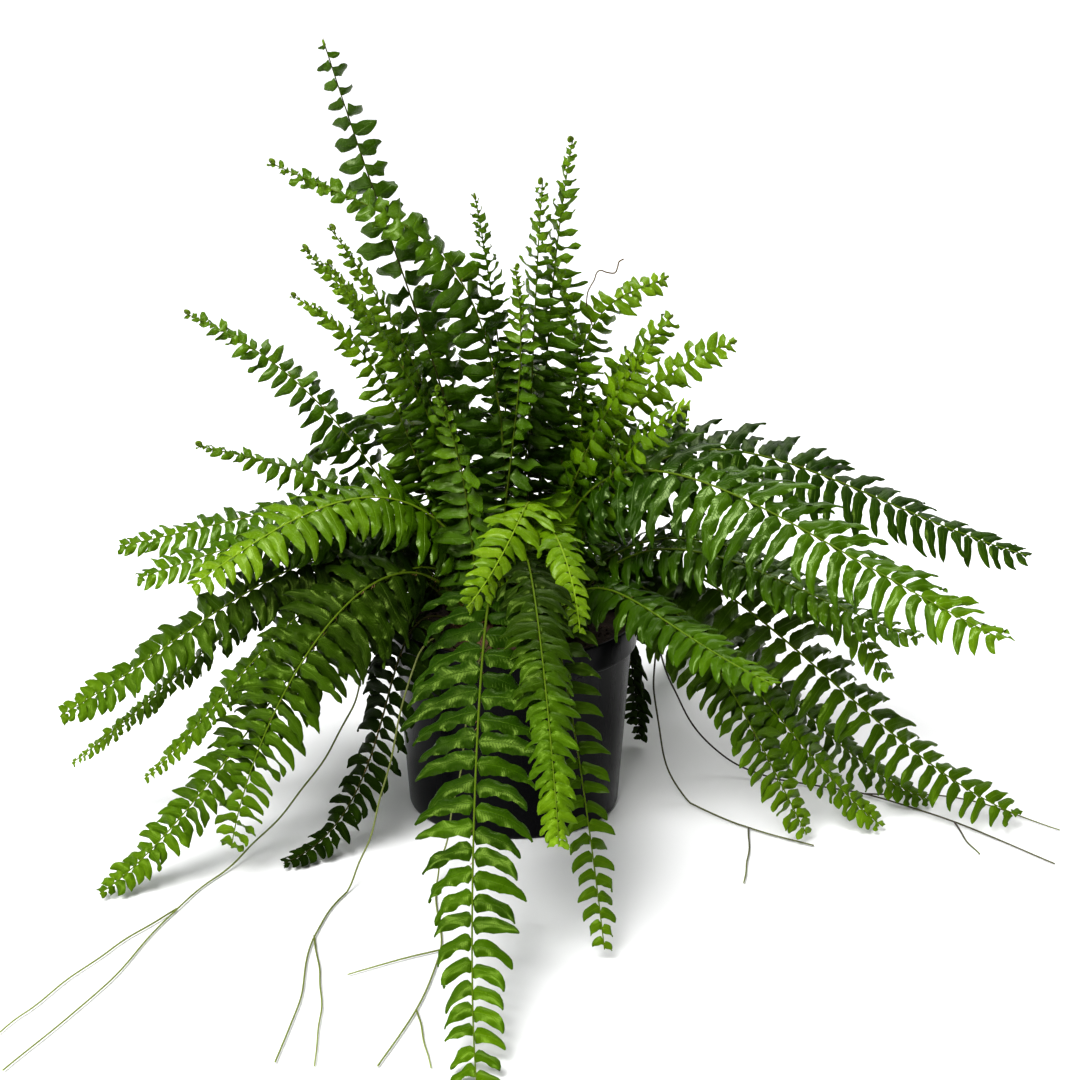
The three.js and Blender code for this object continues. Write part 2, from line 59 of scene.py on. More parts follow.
def new_object(name, data):
    thing = bpy.data.objects.new(name, data)
    bpy.context.scene.collection.objects.link(thing)
    return thing


def aimed(name, data, place, target):
    thing = new_object(name, data)
    thing.location = place
    thing.rotation_euler = (Vector(target) - Vector(place)).to_track_quat("-Z", "Y").to_euler()
    return thing


def add_camera():
    data = bpy.data.cameras.new("camera")
    data.sensor_fit = "HORIZONTAL"
    data.sensor_width = SENSOR_WIDTH
    data.lens = SENSOR_WIDTH * FOCAL_PIXELS / FRAME_PIXELS
    back = Vector((0, -math.cos(CAMERA_ELEVATION), math.sin(CAMERA_ELEVATION)))
    place = CAMERA_AIM + CAMERA_DISTANCE * back
    bpy.context.scene.camera = aimed("camera", data, place, CAMERA_AIM)


def add_softbox(name, place, target, size, power, colour=(1.0, 1.0, 1.0)):
    data = bpy.data.lights.new(name, "AREA")
    data.shape = "RECTANGLE"
    data.size, data.size_y = size
    data.energy = power
    data.color = colour
    aimed(name, data, place, target)


def add_sun(name, place, power, width):
    """A sun as wide as this many degrees, which shines from the place to the plant's middle."""
    data = bpy.data.lights.new(name, "SUN")
    data.energy = power
    data.angle = math.radians(width)
    aimed(name, data, place, (0.0, 0.0, 0.2))


def add_studio():
    """A wide key light from the front, above and a little left, with weaker light all round."""
    world = bpy.data.worlds.new("studio")
    world.use_nodes = True
    background = world.node_tree.nodes["Background"]
    background.inputs["Color"].default_value = (1.0, 1.0, 1.0, 1.0)
    background.inputs["Strength"].default_value = 0.14
    bpy.context.scene.world = world
    add_sun("key_light", (-0.6, -1.0, 1.7), power=3.9, width=34)
    add_softbox("back_light", (0.2, 0.9, 1.6), (0.0, 0.0, 0.25), size=(1.3, 0.8), power=11)
    add_sun("fill_light", (0.4, 1.0, 0.9), power=0.5, width=60)
    add_softbox("left_light", (-1.7, -0.8, 0.9), (0.0, 0.0, 0.2), size=(0.8, 1.4), power=10,
                colour=(0.93, 0.95, 1.0))
    settings = bpy.context.scene.view_settings
    settings.view_transform = "Standard"
    settings.look = "Medium High Contrast"


# -------- materials


class Shades:
    """A short way to write a material's nodes."""

    def __init__(self, name):
        self.material = bpy.data.materials.new(name)
        self.material.use_nodes = True
        self.nodes = self.material.node_tree.nodes
        self.links = self.material.node_tree.links
        self.shader = self.nodes["Principled BSDF"]
        self.output = self.nodes["Material Output"]

    def node(self, kind, **settings):
        made = self.nodes.new(kind)
        for key, value in settings.items():
            setattr(made, key, value)
        return made

    def put(self, socket, value):
        if isinstance(value, bpy.types.NodeSocket):
            self.links.new(value, socket)
        elif value is not None:
            socket.default_value = value

    def math(self, operation, a, b=None):
        made = self.node("ShaderNodeMath", operation=operation)
        for socket, value in zip(made.inputs, (a, b)):
            self.put(socket, value)
        return made.outputs[0]

    def plus(self, value, extra, share):
        """The value and a share of the extra one."""
        return self.math("ADD", value, self.math("MULTIPLY", extra, share))

    def mix(self, factor, a, b):
        made = self.node("ShaderNodeMix", data_type="RGBA")
        self.put(made.inputs["Factor"], factor)
        for socket, value in ((made.inputs[6], a), (made.inputs[7], b)):
            self.put(socket, (*value, 1.0) if isinstance(value, tuple) else value)
        return made.outputs[2]

    def spread(self, value, low, high, to_low=0.0, to_high=1.0):
        made = self.node("ShaderNodeMapRange", interpolation_type="SMOOTHSTEP")
        for socket, number in zip(made.inputs, (value, low, high, to_low, to_high)):
            self.put(socket, number)
        return made.outputs[0]

    def ramp(self, value, stops):
        made = self.node("ShaderNodeValToRGB")
        band = made.color_ramp
        while len(band.elements) < len(stops):
            band.elements.new(0.5)
        for element, (position, colour) in zip(band.elements, stops):
            element.position = position
            element.color = (*colour, 1.0)
        self.put(made.inputs[0], value)
        return made.outputs[0]

    def noise(self, scale, detail=2.0, stretch=(1.0, 1.0, 1.0)):
        place = self.node("ShaderNodeTexCoord").outputs["Object"]
        if stretch != (1.0, 1.0, 1.0):
            mapping = self.node("ShaderNodeMapping")
            self.put(mapping.inputs["Vector"], place)
            mapping.inputs["Scale"].default_value = stretch
            place = mapping.outputs[0]
        made = self.node("ShaderNodeTexNoise")
        self.put(made.inputs["Vector"], place)
        made.inputs["Scale"].default_value = scale
        made.inputs["Detail"].default_value = detail
        return made.outputs["Fac"]

    def place(self):
        """The three numbers that the mesh keeps for each point: along, across and tone."""
        made = self.node("ShaderNodeAttribute", attribute_name="place")
        split = self.node("ShaderNodeSeparateXYZ")
        self.put(split.inputs[0], made.outputs["Vector"])
        return split.outputs[0], split.outputs[1], split.outputs[2]

    def under(self):
        """Is 1 on a leaflet's underside."""
        return self.node("ShaderNodeAttribute", attribute_name="under").outputs["Fac"]

    def bump(self, height, distance, strength):
        made = self.node("ShaderNodeBump")
        made.inputs["Strength"].default_value = strength
        made.inputs["Distance"].default_value = distance
        self.put(made.inputs["Height"], height)
        self.put(self.shader.inputs["Normal"], made.outputs[0])
        return made.outputs[0]

    def surface(self, colour, roughness, gloss=0.5):
        self.put(self.shader.inputs["Base Color"], colour)
        self.put(self.shader.inputs["Roughness"], roughness)
        self.shader.inputs["Specular IOR Level"].default_value = gloss


# Colours of a leaf from its darkest tone to its lightest, and the tints of its shine.
GREEN_TONES = (
    (0.0, (0.003, 0.015, 0.001)),
    (0.30, (0.020, 0.054, 0.001)),
    (0.55, (0.061, 0.138, 0.001)),
    (0.78, (0.142, 0.262, 0.003)),
    (1.0, (0.300, 0.470, 0.015)),
)
OLIVE_TONES = (
    (0.0, (0.006, 0.014, 0.001)),
    (0.30, (0.026, 0.058, 0.001)),
    (0.55, (0.060, 0.128, 0.002)),
    (0.78, (0.122, 0.222, 0.004)),
    (1.0, (0.240, 0.400, 0.020)),
)
LEAF_GLOSS = (0.70, 1.0, 0.20, 1.0)
MATURE_GLOSS = (0.78, 1.0, 0.46, 1.0)
YOUNG_GLOSS = (0.85, 1.0, 0.55, 1.0)


def leaf_material(name, tones, roughness, see_through, gloss, tint=LEAF_GLOSS):
    m = Shades(name)
    along, across, tone = m.place()
    off = m.math("ABSOLUTE", across)
    blotch = m.math("SUBTRACT", m.noise(55, 3), 0.5)
    fine = m.math("SUBTRACT", m.noise(420, 2), 0.5)
    tone = m.plus(m.plus(tone, blotch, 0.22), fine, 0.09)
    # Side veins slant from the midvein to the edge.
    slant = m.plus(m.math("MULTIPLY", along, 24.0), off, -1.6)
    wave = m.math("SINE", m.math("MULTIPLY", slant, 2 * math.pi))
    side_vein = m.math("MULTIPLY", m.spread(wave, 0.55, 1.0), m.spread(off, 0.05, 0.4, 0.35, 1.0))
    midvein = m.spread(off, 0.09, 0.02)
    tone = m.plus(m.plus(tone, side_vein, -0.03), midvein, 0.08)
    colour = m.ramp(tone, tones)
    paler = m.mix(0.5, colour, (0.13, 0.24, 0.03))
    pale_under = m.mix(m.math("MULTIPLY", m.under(), 0.45), colour, paler)
    m.surface(pale_under, m.plus(roughness, fine, 0.16), gloss)
    m.shader.inputs["Specular Tint"].default_value = tint
    height = m.plus(m.math("MULTIPLY", m.noise(100, 3), 0.55), side_vein, -0.26)
    normal = m.bump(m.plus(height, midvein, -0.6), 0.45 * MM, 0.8)
    glow = m.node("ShaderNodeBsdfTranslucent")
    m.put(glow.inputs["Color"], m.mix(0.5, colour, (0.30, 0.50, 0.01)))
    m.put(glow.inputs["Normal"], normal)
    blend = m.node("ShaderNodeMixShader")
    blend.inputs[0].default_value = see_through
    m.put(blend.inputs[1], m.shader.outputs[0])
    m.put(blend.inputs[2], glow.outputs[0])
    m.put(m.output.inputs["Surface"], blend.outputs[0])
    return m.material


def rib_material():
    """Brown at the root and green from there on, darker or paler with the tone."""
    m = Shades("frond_rib")
    along, _, tone = m.place()
    green = m.ramp(tone, (
        (0.0, (0.020, 0.018, 0.005)),
        (0.3, (0.045, 0.066, 0.004)),
        (0.6, (0.110, 0.185, 0.008)),
        (1.0, (0.290, 0.430, 0.030)),
    ))
    brown = m.mix(m.noise(300, 3), (0.050, 0.022, 0.008), (0.130, 0.065, 0.024))
    share = m.spread(m.plus(along, m.noise(90, 2), 0.12), 0.06, 0.24)
    streak = m.noise(160, 2, (1.0, 1.0, 0.25))
    colour = m.mix(share, brown, green)
    colour = m.mix(m.math("MULTIPLY", streak, 0.35), colour, m.mix(0.5, colour, (0.04, 0.03, 0.01)))
    m.surface(colour, m.plus(0.40, streak, 0.2), 0.3)
    m.shader.inputs["Specular Tint"].default_value = LEAF_GLOSS
    m.bump(streak, 0.2 * MM, 0.5)
    return m.material


def scale_material():
    m = Shades("rib_scale")
    along, _, tone = m.place()
    colour = m.ramp(m.plus(tone, m.noise(500, 2), 0.3), (
        (0.0, (0.040, 0.018, 0.007)),
        (0.5, (0.130, 0.060, 0.022)),
        (1.0, (0.300, 0.170, 0.075)),
    ))
    m.surface(colour, m.plus(0.55, along, 0.2))
    return m.material


def pot_material():
    m = Shades("pot_plastic")
    cloud = m.noise(38, 4)
    grain = m.noise(900, 2)
    streak = m.noise(70, 3, (1.0, 1.0, 0.08))
    dust = m.math("MULTIPLY", m.spread(cloud, 0.5, 0.8), 0.35)
    colour = m.mix(dust, (0.0015, 0.0015, 0.0022), (0.0070, 0.0066, 0.0085))
    m.surface(colour, m.plus(0.16, streak, 0.22), 0.10)
    m.bump(m.math("ADD", m.math("MULTIPLY", grain, 0.35), streak), 0.12 * MM, 0.5)
    return m.material


def soil_material():
    m = Shades("peat_mix")
    lumps, crumbs, fleck = m.noise(90, 5), m.noise(420, 3), m.noise(800, 1)
    colour = m.mix(lumps, (0.010, 0.006, 0.004), (0.060, 0.036, 0.020))
    colour = m.mix(m.spread(fleck, 0.66, 0.74), colour, (0.150, 0.095, 0.050))
    m.surface(colour, m.plus(0.82, crumbs, 0.15), 0.3)
    m.bump(m.math("ADD", lumps, crumbs), 1.5 * MM, 0.9)
    return m.material


def crown_material():
    m = Shades("fern_crown")
    fibre, patch = m.noise(260, 4, (1.0, 1.0, 0.35)), m.noise(70, 3)
    colour = m.mix(patch, (0.022, 0.011, 0.005), (0.110, 0.058, 0.024))
    colour = m.mix(m.spread(fibre, 0.55, 0.8), colour, (0.200, 0.115, 0.050))
    m.surface(colour, m.plus(0.70, fibre, 0.2))
    m.bump(fibre, 1.2 * MM, 0.9)
    return m.material


def runner_material():
    m = Shades("runner_skin")
    along, _, tone = m.place()
    streak = m.noise(240, 2)
    colour = m.ramp(m.plus(m.plus(tone, along, 0.40), streak, 0.2), (
        (0.05, (0.036, 0.022, 0.016)),
        (0.35, (0.095, 0.108, 0.020)),
        (0.65, (0.180, 0.225, 0.042)),
        (1.0, (0.320, 0.380, 0.120)),
    ))
    m.surface(colour, m.plus(0.45, streak, 0.25))
    m.bump(streak, 0.2 * MM, 0.6)
    return m.material


def floor_material():
    m = Shades("studio_floor")
    speck = m.noise(4, 2)
    colour = m.mix(speck, (0.86, 0.86, 0.86), (0.90, 0.90, 0.90))
    m.surface(colour, m.plus(0.75, speck, 0.1), 0.15)
    return m.material


# -------- mesh pieces


def unit(v):
    return v / np.linalg.norm(v, axis=-1, keepdims=True)


def places(along, across, tone):
    """What each vertex keeps for its material: how far along and across it lies, and its tone."""
    return np.stack(np.broadcast_arrays(along, across, tone), axis=-1)


def ring_faces(rings, sides):
    """The faces between neighbouring rings of a round skin."""
    i, k = np.meshgrid(np.arange(rings - 1), np.arange(sides), indexing="ij")
    a, b = i * sides + k, i * sides + (k + 1) % sides
    return np.stack((a, b, b + sides, a + sides), axis=-1)


class Piece:
    """Collects vertices and faces, each face with its material, and makes one object of them."""

    def __init__(self):
        self.points, self.place, self.under = [], [], []
        self.quads, self.triangles = [], []
        self.count = 0

    def add(self, points, place, under=0.0, quads=(), triangles=(), material=0):
        points = np.asarray(points, dtype=float).reshape(-1, 3)
        place = np.broadcast_to(np.asarray(place, dtype=float), points.shape)
        self.points.append(points)
        self.place.append(place)
        self.under.append(np.broadcast_to(np.asarray(under, dtype=float), len(points)))
        for kept, faces, size in ((self.quads, quads, 4), (self.triangles, triangles, 3)):
            faces = np.asarray(faces, dtype=np.int32).reshape(-1, size)
            if len(faces):
                kept.append((faces + self.count, material))
        self.count += len(points)

    def tube(self, centres, radii, sides, place, material=0):
        """A closed round tube. The place values are one row for each centre."""
        centres = np.asarray(centres, dtype=float)
        along = unit(np.gradient(centres, axis=0))
        across = np.empty_like(along)
        guide = np.cross(along[0], (0.0, 0.0, 1.0))
        if np.linalg.norm(guide) < 0.1:
            guide = np.array((0.0, 1.0, 0.0))
        for i, direction in enumerate(along):
            guide = guide - direction * guide.dot(direction)
            guide /= np.linalg.norm(guide)
            across[i] = guide
        up = np.cross(along, across)
        angles = np.arange(sides) * 2 * math.pi / sides
        ring = across[:, None] * np.cos(angles)[None, :, None]
        ring = ring + up[:, None] * np.sin(angles)[None, :, None]
        radii = np.broadcast_to(np.asarray(radii, dtype=float), len(centres))
        points = (centres[:, None] + ring * radii[:, None, None]).reshape(-1, 3)
        last = (len(centres) - 1) * sides
        caps = [(0, n + 1, n) for n in range(1, sides - 1)]
        caps += [(last, last + n, last + n + 1) for n in range(1, sides - 1)]
        self.add(points, np.repeat(np.asarray(place, dtype=float), sides, axis=0),
                 quads=ring_faces(len(centres), sides), triangles=caps, material=material)

    def spikes(self, roots, tips, width, tones, material):
        """Thin pointed scales with a flat three-cornered root and one tone each."""
        along = unit(tips - roots)
        across = unit(np.cross(along, (0.31, 0.17, 0.93)))
        up = np.cross(along, across)
        corners = np.stack((
            roots + across * width, roots - across * width, roots + up * width * 0.35, tips), axis=1)
        first = 4 * np.arange(len(roots))[:, None, None]
        shape = np.array(((0, 1, 2), (0, 3, 1), (1, 3, 2), (2, 3, 0)))
        place = np.zeros((len(roots), 4, 3))
        place[:, 3, 0] = 1.0
        place[..., 2] = tones[:, None]
        self.add(corners, place.reshape(-1, 3), triangles=first + shape, material=material)

    def finish(self, name, materials, node=None, crease=50.0):
        """Makes the object, which replaces the node. Edges sharper than the crease stay sharp."""
        mesh = bpy.data.meshes.new(name)
        points = np.concatenate(self.points)
        kinds = self.quads + self.triangles
        totals = np.concatenate([np.full(len(faces), faces.shape[1]) for faces, _ in kinds])
        mesh.vertices.add(len(points))
        mesh.vertices.foreach_set("co", points.astype(np.float32).ravel())
        mesh.loops.add(int(totals.sum()))
        mesh.loops.foreach_set("vertex_index", np.concatenate([faces.ravel() for faces, _ in kinds]))
        mesh.polygons.add(len(totals))
        mesh.polygons.foreach_set("loop_start", np.concatenate(([0], np.cumsum(totals)[:-1])))
        mesh.polygons.foreach_set(
            "material_index", np.concatenate([np.full(len(faces), index) for faces, index in kinds]))
        mesh.update(calc_edges=True)
        for key, kind, rows, field in (
            ("place", "FLOAT_VECTOR", self.place, "vector"),
            ("under", "FLOAT", self.under, "value"),
        ):
            layer = mesh.attributes.new(key, kind, "POINT")
            layer.data.foreach_set(field, np.concatenate(rows).astype(np.float32).ravel())
        mesh.polygons.foreach_set("use_smooth", np.ones(len(totals), dtype=bool))
        mesh.set_sharp_from_angle(angle=math.radians(crease))
        mesh.validate()
        for material in materials:
            mesh.materials.append(material)
        piece = new_object(name, mesh)
        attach(piece, "root")
        if node:
            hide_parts(node)
        return piece


# -------- fronds

SEED = 20
ROOT_Z = 0.135
# A rib's radius at its two ends, on a frond whose longest leaflets are 60 mm.
RIB_ROOT = 1.15 * MM
RIB_TIP = 0.40 * MM
# What sinks below the soft landing is pressed flat, and nothing ends lower than the lowest.
LOWEST = 0.9 * MM
SOFT_LANDING = 7 * MM

# The same sizes as the solids have, in millimetres and degrees: azimuth, root, reach, tip height,
# launch slope, tip slope, rise, fall, sway, longest leaflet and roll.
FRONDS = {
    "hanging": [
        [-99, 30, 436, 4, 70, -10, 215, 130, 52, 62, 0],
        [-77, 33, 272, 10, 72, -60, 160, 110, 0, 32, 0],
        [-84, 20, 300, 100, 80, -50, 170, 120, 0, 34, 0],
        [-143, 32, 242, 26, 66, -78, 160, 110, 0, 54, -35],
        [-148, 18, 330, 6, 66, -22, 190, 120, 0, 40, -30],
        [-165, 30, 328, 100, 66, -25, 165, 110, 0, 44, -30],
        [-172, 20, 322, 46, 64, -35, 170, 130, 0, 24, -20],
        [-156, 36, 280, 64, 64, -35, 160, 90, 0, 26, -20],
        [-136, 38, 202, 5, 45, -5, 148, 116, -20, 36, -10],
        [158, 38, 118, 44, 64, -85, 110, 60, 0, 26, 0],
        [-10, 30, 368, 14, 68, -20, 180, 140, 0, 56, 35],
        [-4, 38, 308, 6, 66, -20, 150, 130, 0, 42, 30],
        [-14, 18, 274, 6, 66, -35, 160, 110, 0, 40, 30],
        [-22, 37, 226, 8, 64, -60, 140, 100, 0, 42, 30],
        [44, 38, 136, 6, 66, -85, 110, 80, 0, 38, 0],
    ],
    "spreading": [
        [180, 25, 283, 197, 70, -10, 150, 110, 0, 36, -32],
        [-169, 38, 268, 190, 70, -15, 130, 90, 0, 36, -32],
        [-160, 9, 236, 194, 72, -32, 170, 100, 0, 42, -26],
        [-28, 23, 366, 190, 84, -18, 225, 190, 0, 56, 34],
        [6, 26, 380, 176, 74, -18, 240, 170, 0, 50, 28],
        [-24, 33, 304, 172, 62, -10, 150, 120, 0, 34, 24],
        [-18, 28, 278, 128, 66, -55, 150, 100, 0, 36, 30],
        [-42, 34, 235, 152, 64, -8, 100, 120, 0, 34, 22],
        [-72, 16, 150, 183, 84, -75, 150, 60, 0, 26, 0],
        [-60, 24, 108, 201, 88, -75, 170, 50, -96, 34, 0],
    ],
    "upright": [
        [152, 13, 150, 546, 80, 70, 160, 200, 0, 30, -60],
        [166, 6, 174, 466, 92, 22, 300, 130, 0, 30, -40],
        [175, 18, 127, 426, 80, 55, 170, 90, 0, 24, -40],
        [166, 25, 152, 406, 82, 45, 190, 90, 0, 22, -40],
        [-172, 14.5, 128, 408, 80, 55, 160, 80, 0, 22, -40],
        [173, 33, 156, 376, 74, 28, 150, 80, 0, 24, -40],
        [165, 34, 244, 352, 60, 18, 130, 100, 0, 28, -40],
        [-176, 40, 222, 276, 62, 14, 130, 100, 0, 26, -30],
        [90, 15, 22, 447, 88, 90, 140, 100, 26, 24, 0],
        [58, 13, 40, 455, 86, 82, 120, 80, 0, 30, 0],
        [47, 21, 62, 482, 86, 75, 160, 100, 0, 30, 0],
        [-125, 26, -4, 400, 98, 76, 140, 80, 0, 28, 0],
        [22, 30, 30, 412, 76, 108, 140, 90, 0, 28, 0],
        [31, 27, 128, 378, 84, 12, 240, 70, 0, 26, 55],
        [13, 14, 88, 330, 78, 60, 110, 60, 0, 26, 55],
        [-20, 13, 104, 356, 76, 55, 120, 80, 0, 28, 55],
        [-2, 9, 155, 348, 70, 18, 130, 80, 0, 28, 55],
        [-30, 29, 138, 318, 70, 30, 110, 70, 0, 26, 55],
        [-128, 34, 84, 330, 80, 60, 100, 70, 0, 28, 0],
        [134, 24, 92, 372, 78, 60, 120, 70, 0, 28, 0],
        [14, 37, 116, 358, 82, 42, 120, 70, 0, 28, 55],
    ],
    "rear": [
        [98, 32, 362, 8, 68, -20, 190, 120, 0, 50, 0],
        [63, 34, 330, 10, 66, -25, 170, 120, 0, 46, 0],
        [126, 35, 330, 12, 66, -25, 170, 120, 0, 46, 0],
        [80, 24, 190, 262, 80, -30, 230, 90, 0, 42, 0],
        [142, 36, 215, 215, 78, -35, 220, 95, 0, 42, 0],
        [24, 37, 250, 190, 76, -35, 220, 100, 0, 42, 0],
    ],
}

# How a group's leaflets look. The tone is the leaf's at the frond's foot and at its tip, and rib is the
# rib's. Leaflets shrink towards the tip by a power, and lean to it by some degrees and then more. Space
# and width are each a share of their length and the millimetres added, and they crowd near the tip. Two
# powers round their end from where they begin to taper, and their foot has an ear and a cut heel. They
# hook to the frond's tip, droop, sag and twist in degrees. Then come their waves, how far a face turns
# skyward, how far left and right ones are staggered, and how tightly the last ones hug the rib. Some
# styles add root_roll, the share of the roll at the root, leaf_start on the rib, first, the length of
# the first one beside the longest, and skew, the degrees that one side leans more and the other less.
HANGING = dict(
    tone=(-0.03, 0.72), rib=0.50, shrink=0.72, power=1, lean=(-6, 18), space=(0.12, 4.0), crowd=0.26,
    width=(0.08, 7.0), end=(2.6, 0.70), taper=0.20, ear=0.34, heel=(0.20, 0.07), hook=38, droop=2,
    sag=34, wave=0.42, twist=24, skyward=0.40, stagger=0.3, hug=0.0)
STYLES = {
    "hanging": HANGING,
    "spreading": dict(
        tone=(0.32, 0.66), rib=0.50, shrink=0.66, power=1.5, lean=(-6, 32), space=(0.15, 4.2), crowd=0.15,
        width=(0.11, 4.6), end=(2.4, 0.74), taper=0.20, ear=0.40, heel=(0.25, 0.10), hook=36, droop=6,
        sag=30, wave=0.50, twist=20, skyward=0.05, stagger=0.3, hug=0.05, root_roll=0.35),
    "upright": dict(
        tone=(0.22, 0.74), rib=0.40, shrink=0.62, power=2.2, lean=(-4, 12), space=(0.26, 2.2), crowd=0.16,
        width=(0.22, 3.4), end=(1.9, 0.76), taper=0.26, ear=0.60, heel=(0.60, 0.24), hook=4, droop=4,
        sag=54, wave=0.44, twist=38, skyward=0.42, stagger=0.5, hug=0.5, leaf_start=0.06, first=1.1),
    "rear": dict(
        HANGING, tone=(0.10, 0.66), rib=0.45, power=1.15, lean=(-4, 20), space=(0.13, 4.0),
        crowd=0.20, droop=3, twist=22),
}

# What single fronds change in their group's style.
YOUNG = dict(tone=(0.66, 0.90), rib=0.8, end=(2.4, 0.74), width=(0.15, 4.4), wave=0.36, lean=(0, 26))
# Painted shade: keeps a frond's leaves and rib near black from foot to tip, for fronds that lie in shadow
# under and behind the others.
PAINTED_SHADE = dict(tone=(-0.10, 0.08), rib=0.0, width=(0.12, 4.6), hook=60)
PALE_TIP = dict(tone=(0.12, 0.76))
SLIM = dict(width=(0.09, 5.6), hook=52, twist=30, wave=0.56)
FRESH = dict(tone=(0.40, 0.82), width=(0.26, 3.6))
BUSHY = dict(tone=(0.40, 0.82), shrink=0.45, hug=0.30, width=(0.26, 3.8))
SPECIAL = {
    "hanging_frond_01": dict(
        tone=(0.18, 0.68), shrink=0.74, power=0.75, space=(0.18, 5.0), crowd=0.12, width=(0.14, 6.0),
        end=(2.2, 0.80), hook=58, sag=26, wave=0.34, twist=16, skyward=0.22),
    "hanging_frond_02": dict(
        tone=(0.14, 0.66), shrink=0.66, space=(0.25, 5.4), width=(0.14, 5.0), end=(2.2, 0.80), hook=60,
        sag=36, skyward=0.22),
    "hanging_frond_03": dict(
        YOUNG, tone=(-0.16, 0.84), shrink=0.62, rib=0.5, skyward=0.2, wave=0.5, sag=40),
    "hanging_frond_11": dict(
        tone=(0.26, 0.66), space=(0.15, 4.6), width=(0.11, 5.2), skyward=0.2, skew=16, hook=40),
    "hanging_frond_12": dict(tone=(0.20, 0.66), skew=10),
    "spreading_frond_03": dict(
        YOUNG, tone=(0.51, 0.88), lean=(-12, 30), skew=-14, sag=34, root_roll=1.2),
    "spreading_frond_04": dict(tone=(0.27, 0.73), skew=16, hook=50, sag=30, root_roll=1.3),
    "spreading_frond_05": dict(
        tone=(0.14, 0.32), wave=0.34, twist=10, skew=16, hook=46, root_roll=1.2),
    "spreading_frond_08": dict(YOUNG, tone=(0.24, 0.64), rib=0.6),
    "upright_frond_01": dict(
        tone=(0.36, 0.50), rib=0.12, hug=0.0, skyward=0.25, crowd=0.22, space=(0.44, 4.0),
        width=(0.34, 4.8), end=(2.2, 0.66)),
    "upright_frond_02": dict(space=(0.32, 3.0), width=(0.36, 5.0), end=(2.2, 0.66), wave=0.5),
    "upright_frond_19": dict(tone=(0.38, 0.76), width=(0.24, 2.8)),
}
for kind, group, numbers in (
    (SLIM, "hanging", (4, 5)),
    # Hanging fronds 09, 10 and 15 get painted shade: their leaves are coloured near black where they lie in
    # shadow.
    (PAINTED_SHADE, "hanging", (9, 10, 15)),
    (PALE_TIP, "hanging", (13, 14)),
    (YOUNG, "spreading", (9, 10)),
    (FRESH, "upright", (3, 4, 5, 6)),
    (BUSHY, "upright", (14, 15, 16, 17, 18, 20, 21)),
):
    SPECIAL.update({f"{group}_frond_{number:02d}": kind for number in numbers})

# Unless the style says, where on the rib the leaflets begin and how long the first one is beside the
# longest, which is this far along the leafy part.
LEAVES_START, FIRST_LEAFLET = 0.2, 0.62
LONGEST_AT = 0.2
# How loosely the leaflets are set.
LOOSE, UPRIGHT_LOOSE = 1.4, 2.4
CURVE_POINTS = 601

# The thread on one frond: its bends, in millimetres from its foot at this share of the rib.
THREADED = "upright_frond_14"
THREAD_AT = 0.76
THREAD_RADIUS = 0.5 * MM
THREAD = [
    [0, 0, 0], [-4, 8, 11], [-3.5, 9, 23], [1, 9, 32], [3, 9, 37.5], [5.5, 9, 39], [10, 9, 37.5],
    [15.8, 10, 37], [17.6, 10, 41], [18.7, 10, 45], [21.9, 10, 47],
]


def smooth(value, low, high):
    """Rises from 0 at the low value to 1 at the high one."""
    share = min(max((value - low) / (high - low), 0.0), 1.0)
    return share * share * (3 - 2 * share)


def landed(points):
    """Presses what would sink into the floor flat on it, with no crease where it lands."""
    z = points[..., 2]
    room = SOFT_LANDING - LOWEST
    pressed = LOWEST + room * np.exp(np.minimum((z - SOFT_LANDING) / room, 0.0))
    points[..., 2] = np.where(z < SOFT_LANDING, pressed, z)
    return points


